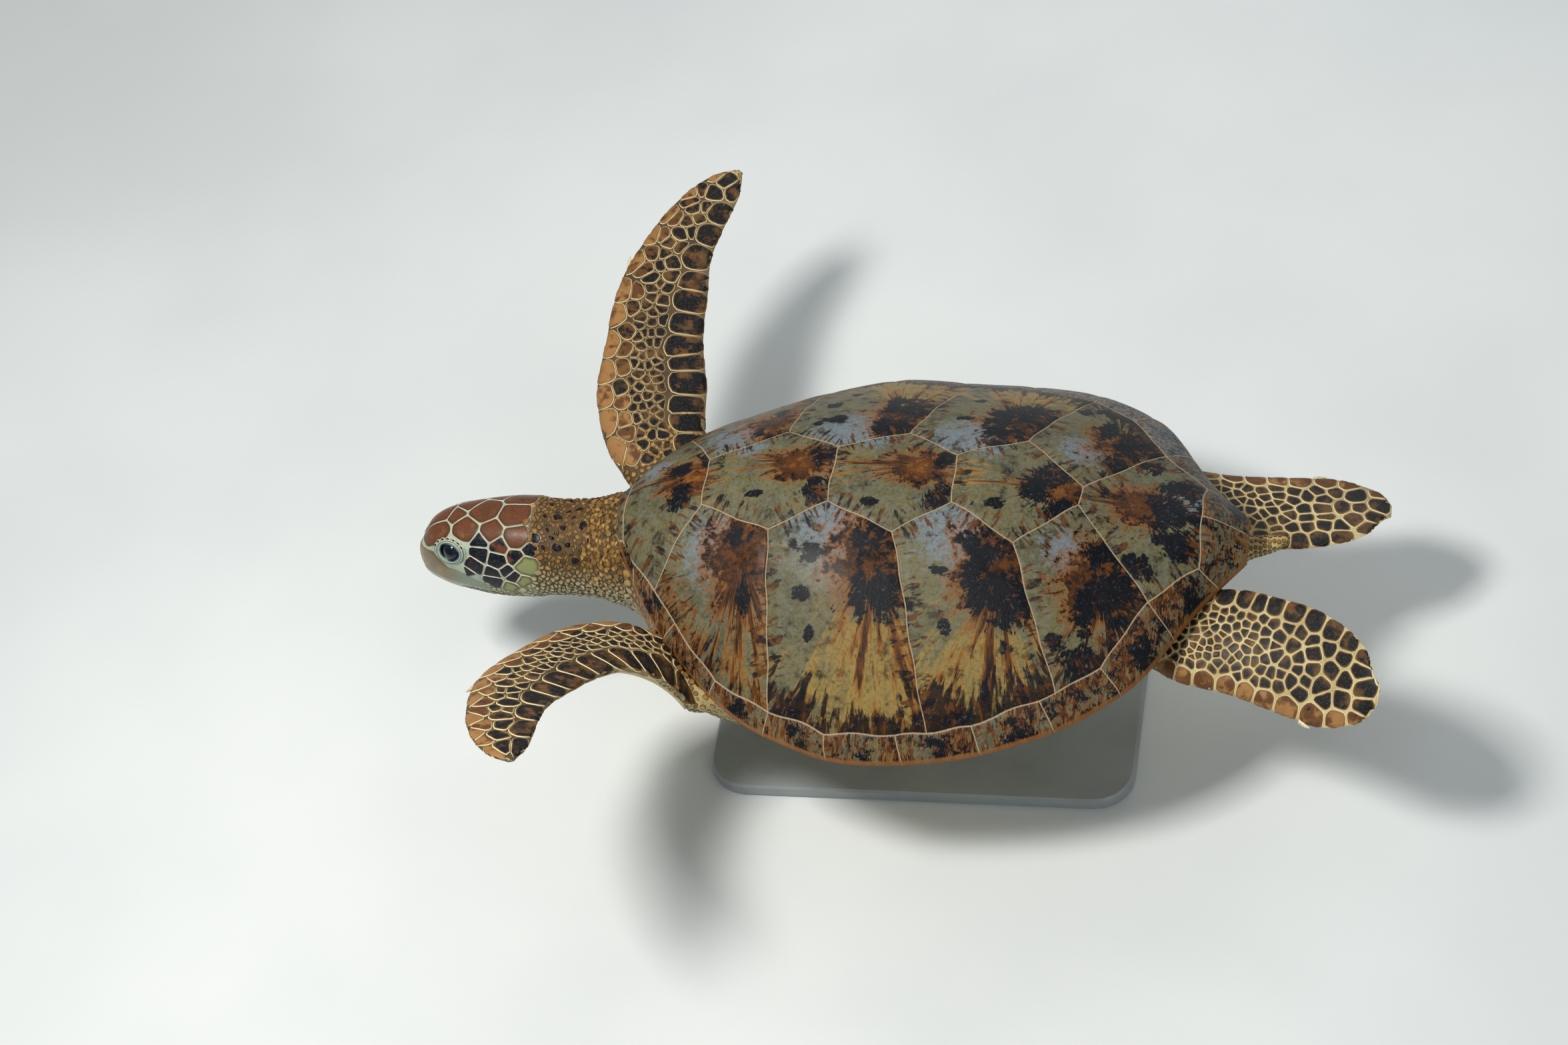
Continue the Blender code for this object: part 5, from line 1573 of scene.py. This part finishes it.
def coatNeck():
    # staggered rings of scales, shaken out of line, their tone deepened inside the creases as painted shade
    for index, (low, high, along, width, near, far, thick) in enumerate(neckRings):
        rows = int((high - low) / along)
        columns = int(2 * np.pi * .063 / width)
        row, column = np.meshgrid(np.arange(rows), np.arange(columns), indexing="ij")
        d = (low + along * (row + .5) + random.uniform(-.24, .24, row.shape) * along).ravel()
        bearing = ((column + .5 * (row % 2)) / columns * 2 * np.pi - np.pi).ravel()
        bearing = bearing + random.uniform(-.38, .38, bearing.shape) * 2 * np.pi / columns
        fold = .0012 * np.sin(bearing * 3 + 1) + .0010 * np.sin(bearing * 7)
        d = d + fold * (index == 0)
        round_ = np.abs(np.degrees(bearing))
        spots = withNormals(headSurface, d, bearing, -1)
        use = (round_ >= near) & (round_ <= far) & bareSpots(*spots, treeOf(*coatPieces, *beakPieces), .009)
        d, bearing = d[use], bearing[use]
        stretch = np.linalg.norm(headSurface(d, bearing) - headPlace(d, 0, 0), axis=1)
        sites = dict(a=d, b=bearing, r=random.uniform(.0024, .0042, len(d)), stretch=stretch,
                     most=np.full(len(d), width * .72))
        dots = np.array(neckDots) if index == 0 else np.zeros((0, 3))
        ghosts = np.stack([dots[:, 0], np.radians(dots[:, 1]), dots[:, 2] / 620 + .0022], -1)
        theta, reach = chartCells(sites, ghosts, count=10, nearest=9)

        def lay(x, y):
            return withNormals(headSurface, d[:, None] + x, bearing[:, None] + y / stretch[:, None], -1)

        below = ease(58, 105, np.abs(np.degrees(bearing)))
        # painted shade: scales in the neck's creases are drawn darker
        tone = np.clip(random.normal(.24, .09, len(d)) + .10 * ease(.20, .17, d)
                       + .50 * neckFold(d, bearing), 0, 1)
        thin = thick * random.uniform(.6, 1.5, len(d))
        fields = dict(tone=tone, line=np.full(len(d), .40), pallor=below * .9)
        coatPiece(f"scales_neck_{index + 1}", theta, reach, thin, lay, fields, smallScale,
                  np.stack([d, bearing * .06], -1), small=True)


def coatRest():
    # shoulders, hips and tail: small scales wherever the skin is still bare and can be seen
    points, outs = (readMesh(skin.data.vertices, key, 3) for key in ("co", "normal"))
    roof, floor = shellLimits(points)
    shell = points - place(0, 0, 0)
    s = shell[:, 0] / shellLength
    free = (points[:, 2] < roof - .0006) & (points[:, 2] > floor + .0006)
    free &= ~((s > .20) & (s < .70) & (np.abs(shell[:, 1]) < rimHalfWidth(s) * shellLength - .02))
    free &= s > -.06
    for blade in blades.values():
        gaps = np.concatenate([np.linalg.norm(blade["frames"][None, :, 0] - part[:, None], axis=-1)
                               for part in np.array_split(points, 12)])
        free &= (gaps.argmin(axis=1) <= .10 * bladeRoot["steps"]) | (gaps.min(axis=1) > .082)
    index = np.flatnonzero(free)
    random.shuffle(index)
    index = index[bareSpots(points[index], outs[index], treeOf(*coatPieces), .007)]
    spacing = .0075 - .0022 * ease(.8, 1.0, s[index])     # finer towards the tail
    kept = scatterSites(points[index], spacing)
    size, index = spacing[kept], index[kept]
    p, n, s = points[index], outs[index], s[index]
    along = unit(np.cross(n, np.array([0.0, 0, 1]) + 1e-4))
    across = np.cross(n, along)
    near = 12
    offsets, far = np.empty((len(p), near, 2)), np.empty((len(p), near))
    for low in range(0, len(p), 500):
        part = slice(low, low + 500)
        delta = p[None] - p[part, None]
        distance = np.linalg.norm(delta, axis=-1)
        distance[distance < 1e-6] = 9
        order = np.argpartition(distance, near, axis=1)[:, :near]
        pick = (np.arange(len(order))[:, None], order)
        offsets[part] = np.stack([np.einsum("ijk,ik->ij", delta[pick], axis[part])
                                  for axis in (along, across)], -1)
        far[part] = distance[pick]
    theta, reach = growCells(offsets, far / 2 - coat["gap"] / 2, size * .2, size * .62, 9)

    below = ease(.25, -.35, n[:, 2])
    tone = np.clip(random.normal(.24, .10, len(p)), 0, 1)
    turn = np.arctan2(p[:, 1], p[:, 2] - body["rimPlane"])
    half = len(p) // 2
    order = np.argsort(s)
    for word, part in (("front", order[:half]), ("rear", order[half:])):
        def lay(x, y):
            spots = p[part, None] + along[part, None] * x[..., None] + across[part, None] * y[..., None]
            return spots + n[part, None] * body["coatDepth"], np.broadcast_to(n[part, None], spots.shape)

        same = np.ones(len(part))
        coatPiece(f"scales_skin_{word}", theta, reach[part], same * .0008, lay,
                  dict(tone=tone[part], line=same * .5, pallor=below[part] * .8), smallScale,
                  np.stack([p[part, 0], turn[part] * .1], -1), small=True)


# Beak
beak = {
    "mouthAt": [0, .020, .043, .062, .085, .110], "mouth": [-.0300, -.0305, -.0300, -.0285, -.0278, -.0300],
    "topAt": [0, .010, .022, .037, .048, .065, .080, .098, .110],
    "top": [.0088, .0150, .0190, .0105, .0035, .0015, -.0050, -.0165, -.0296],
    "upperEnd": .110, "lowerEnd": .060, "chin": -.0592, "wall": .004, "proud": .0008,
    "nostril": (.0062, .0035, .0018), "nostrilDepth": .0022,
}


def beakGrid(lower):
    # level slices of the head's front: the height goes between two lines of the jaw, the distance
    # from the profile to the rear end goes with the square of q, the half width is the superellipse's
    q = np.linspace(-1, 1, 141)[None]
    v = np.linspace(0, 1, 40)[:, None]
    end = beak["lowerEnd"] if lower else beak["upperEnd"]
    nominal = end * q ** 2
    mouth = curveThrough(beak["mouthAt"], beak["mouth"])(nominal)
    other = beak["chin"] if lower else curveThrough(beak["topAt"], beak["top"])(nominal)
    up = (mouth - .0007) * (1 - v) + other * v if lower else mouth * (1 - v) + other * v
    d = np.linspace(0, .12, 600)
    nose = headShape["noseDepth"]
    center, half = (headCrown(0) - headThroat(0)) / 2, (headCrown(0) + headThroat(0)) / 2
    flat = -nose * np.sqrt(np.clip(1 - (np.abs(up - center) / half) ** 2, 0, 1))
    start = np.where(up > headCrown(0), np.interp(up, headCrown(d[:440]), d[:440]),
                     np.where(up < -headThroat(0), np.interp(-up, headThroat(d[:440]), d[:440]), flat))
    behind = start + (end - start) * q ** 2
    crown, throat = headCrown(behind), headThroat(behind)
    rounded = np.sqrt(np.clip(1 - (np.minimum(behind, 0) / nose) ** 2, 0, 1))
    level = np.abs(up - (crown - throat) / 2) / np.maximum((crown + throat) / 2 * rounded, 1e-5)
    power = headShape["power"]
    wide = headHalfWidth(behind) * rounded * np.clip(1 - level ** power, 0, 1) ** (1 / power)
    left = np.sign(q) * wide
    return behind, left, up, v + 0 * q, q + 0 * v


def buildBeak(lower):
    # a sheath 0.8 mm proud of the head, rounded at its border, with a lip along the mouth
    behind, left, up, v, q = beakGrid(lower)
    points = headPlace(behind, left, up)
    normal = unit(np.cross(np.gradient(points, axis=1), np.gradient(points, axis=0)))
    normal = normal * np.sign(np.sum(normal * (points - headPlace(behind + .03, 0, -.01)), axis=-1,
                                     keepdims=True))
    border = np.minimum(v if not lower else 1 + 0 * v, 1 - v) * .03
    border = np.minimum(border, (1 - np.abs(q)) * .05)
    sunk, proud = .0007, beak["proud"] - .0004 * lower
    lip = np.exp(-(v * .035 / .0022) ** 2) * (.0002 if lower else .0006)
    side, height, size = beak["nostril"]
    pit = np.exp(-((np.abs(left) - side) ** 2 + (up - height) ** 2) / size ** 2)
    pit = pit * (behind < .02) * (not lower)
    lift = (proud + sunk) * ease(0, .0022, border) - sunk + lip - beak["nostrilDepth"] * pit
    outer = points + normal * lift[..., None]
    inner = headPlace(behind + .004, left * .86, up * .9 - .0020)
    quads, corners = slabMesh(outer, inner)
    # pit sinks the nostrils and also carries the painted shade inside them
    fields = {"rear": ease(.035, .075, behind), "lip": ease(.35, .0, v) if lower else ease(.20, .03, v),
              "pit": pit}
    fields = {key: np.tile(values.ravel(), 2) for key, values in fields.items()}
    word = "lower" if lower else "upper"
    piece = makePiece(f"beak_{word}_sheath", corners, quads, [], beakLook, fields)
    return settle(piece, "beak_horn", "beak_" + word)


# Claws and stand
claw = {"front": .62, "hind": .70, "length": .017, "base": .0040, "tip": .0005, "hook": .0022}


def buildClaw(name):
    # curved cone at the front edge: the radius falls as the power .8 of what is left
    kind = name.split("_")[0]
    blade = blades[name]
    point, forward, edge, face, front, rear, thick = bladeFrame(blade, np.array(claw[kind]))
    tip = unit(edge * .32 + forward * .95)
    across = np.cross(tip, face)
    share, turn = np.linspace(0, 1, 14)[:, None], turns(14)[None]
    radius = claw["tip"] + (claw["base"] - claw["tip"]) * (1 - share) ** .8
    middle = (point + edge * front + tip * (.002 - claw["length"] / 2)
              + tip * (share * claw["length"])[..., None]
              + (edge * claw["hook"] - face * .0006) * (np.sin(np.pi * share) * .5)[..., None])
    rings = (middle + (radius * np.cos(turn))[..., None] * face * .8
             + (radius * np.sin(turn))[..., None] * across)
    settle(makePiece(f"claw_{name}_horn", *loftMesh(rings), clawLook), "claw_horn", "claw_" + name)


def finishStand():
    # the plain solids of the stand stay, in their own finish
    for name in ("stand_base", "stand_rod_front", "stand_rod_rear"):
        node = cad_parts[name]
        node.data.materials.clear()
        node.data.materials.append(metal)


coatPieces = []
beakPieces = [buildBeak(False), buildBeak(True)]
print("beak built")
coatHead()
coatFlippers()
coatBrows()
coatDots()
coatNeck()
coatRest()
for clawName in bladePoses:
    buildClaw(clawName)
finishStand()
print("claws and stand finished")


# Stage, light and camera
view = {
    "azimuth": math.radians(20.283), "elevation": math.radians(48.84), "roll": math.radians(-14.192),
    "distance": 4.187, "aim": (-.164, 0.0, .28), "rise": .027, "lens": 75, "sensor": 36,
}


studio = {
    "floor": 60.0, "aim": (0, 0, .3), "sky": "#e9eef0", "skyStrength": .30,    # floor: half its width
    # name, place, width in metres, watts, colour
    "lamps": [("key", (-1.0, -.9, 3.0), .6, 88, (1.0, .97, .92)),
              ("fill", (2.4, -2.2, 2.2), 2.5, 22, (.93, .97, 1.0)),
              ("back", (.6, 2.8, 2.4), 2.0, 30, (.95, .98, 1.0))],
}


def buildStage():
    # a plain floor with soft overhead light, wider than any view needs
    side = studio["floor"]
    corners = [(-side, -side, 0), (side, -side, 0), (side, side, 0), (-side, side, 0)]
    makePiece("floor", corners, [[0, 1, 2, 3]], [], floorLook)
    for name, spot, size, power, color in studio["lamps"]:
        data = bpy.data.lights.new(name, "AREA")
        data.size, data.energy, data.color = size, power, color
        lamp = bpy.data.objects.new(name, data)
        lamp.location = spot
        lamp.rotation_euler = (Vector(studio["aim"]) - Vector(spot)).to_track_quat("-Z", "Y").to_euler()
        bpy.context.scene.collection.objects.link(lamp)
    world = bpy.data.worlds.new("studio")
    bpy.context.scene.world = world
    world.use_nodes = True
    background = world.node_tree.nodes["Background"]
    background.inputs["Color"].default_value = tint(studio["sky"])
    background.inputs["Strength"].default_value = studio["skyStrength"]
    bpy.context.scene.view_settings.view_transform = "Standard"


def buildCamera():
    # looks down on the left shoulder; the picture's sides lean by the roll
    azimuth, elevation, roll = view["azimuth"], view["elevation"], view["roll"]
    away = Vector((math.sin(azimuth) * math.cos(elevation), -math.cos(azimuth) * math.cos(elevation),
                   math.sin(elevation)))
    level = Vector((math.cos(azimuth), math.sin(azimuth), 0))
    upright = away.cross(level)
    across = level * math.cos(roll) + upright * math.sin(roll)
    over = upright * math.cos(roll) - level * math.sin(roll)
    data = bpy.data.cameras.new("camera")
    data.lens, data.sensor_width = view["lens"], view["sensor"]
    camera = bpy.data.objects.new("camera", data)
    turn = Matrix((across, over, away)).transposed().to_4x4()
    spot = Vector(view["aim"]) + over * view["rise"] + away * view["distance"]
    camera.matrix_world = Matrix.Translation(spot) @ turn
    bpy.context.scene.collection.objects.link(camera)
    bpy.context.scene.camera = camera


buildStage()
buildCamera()
print("stage set")
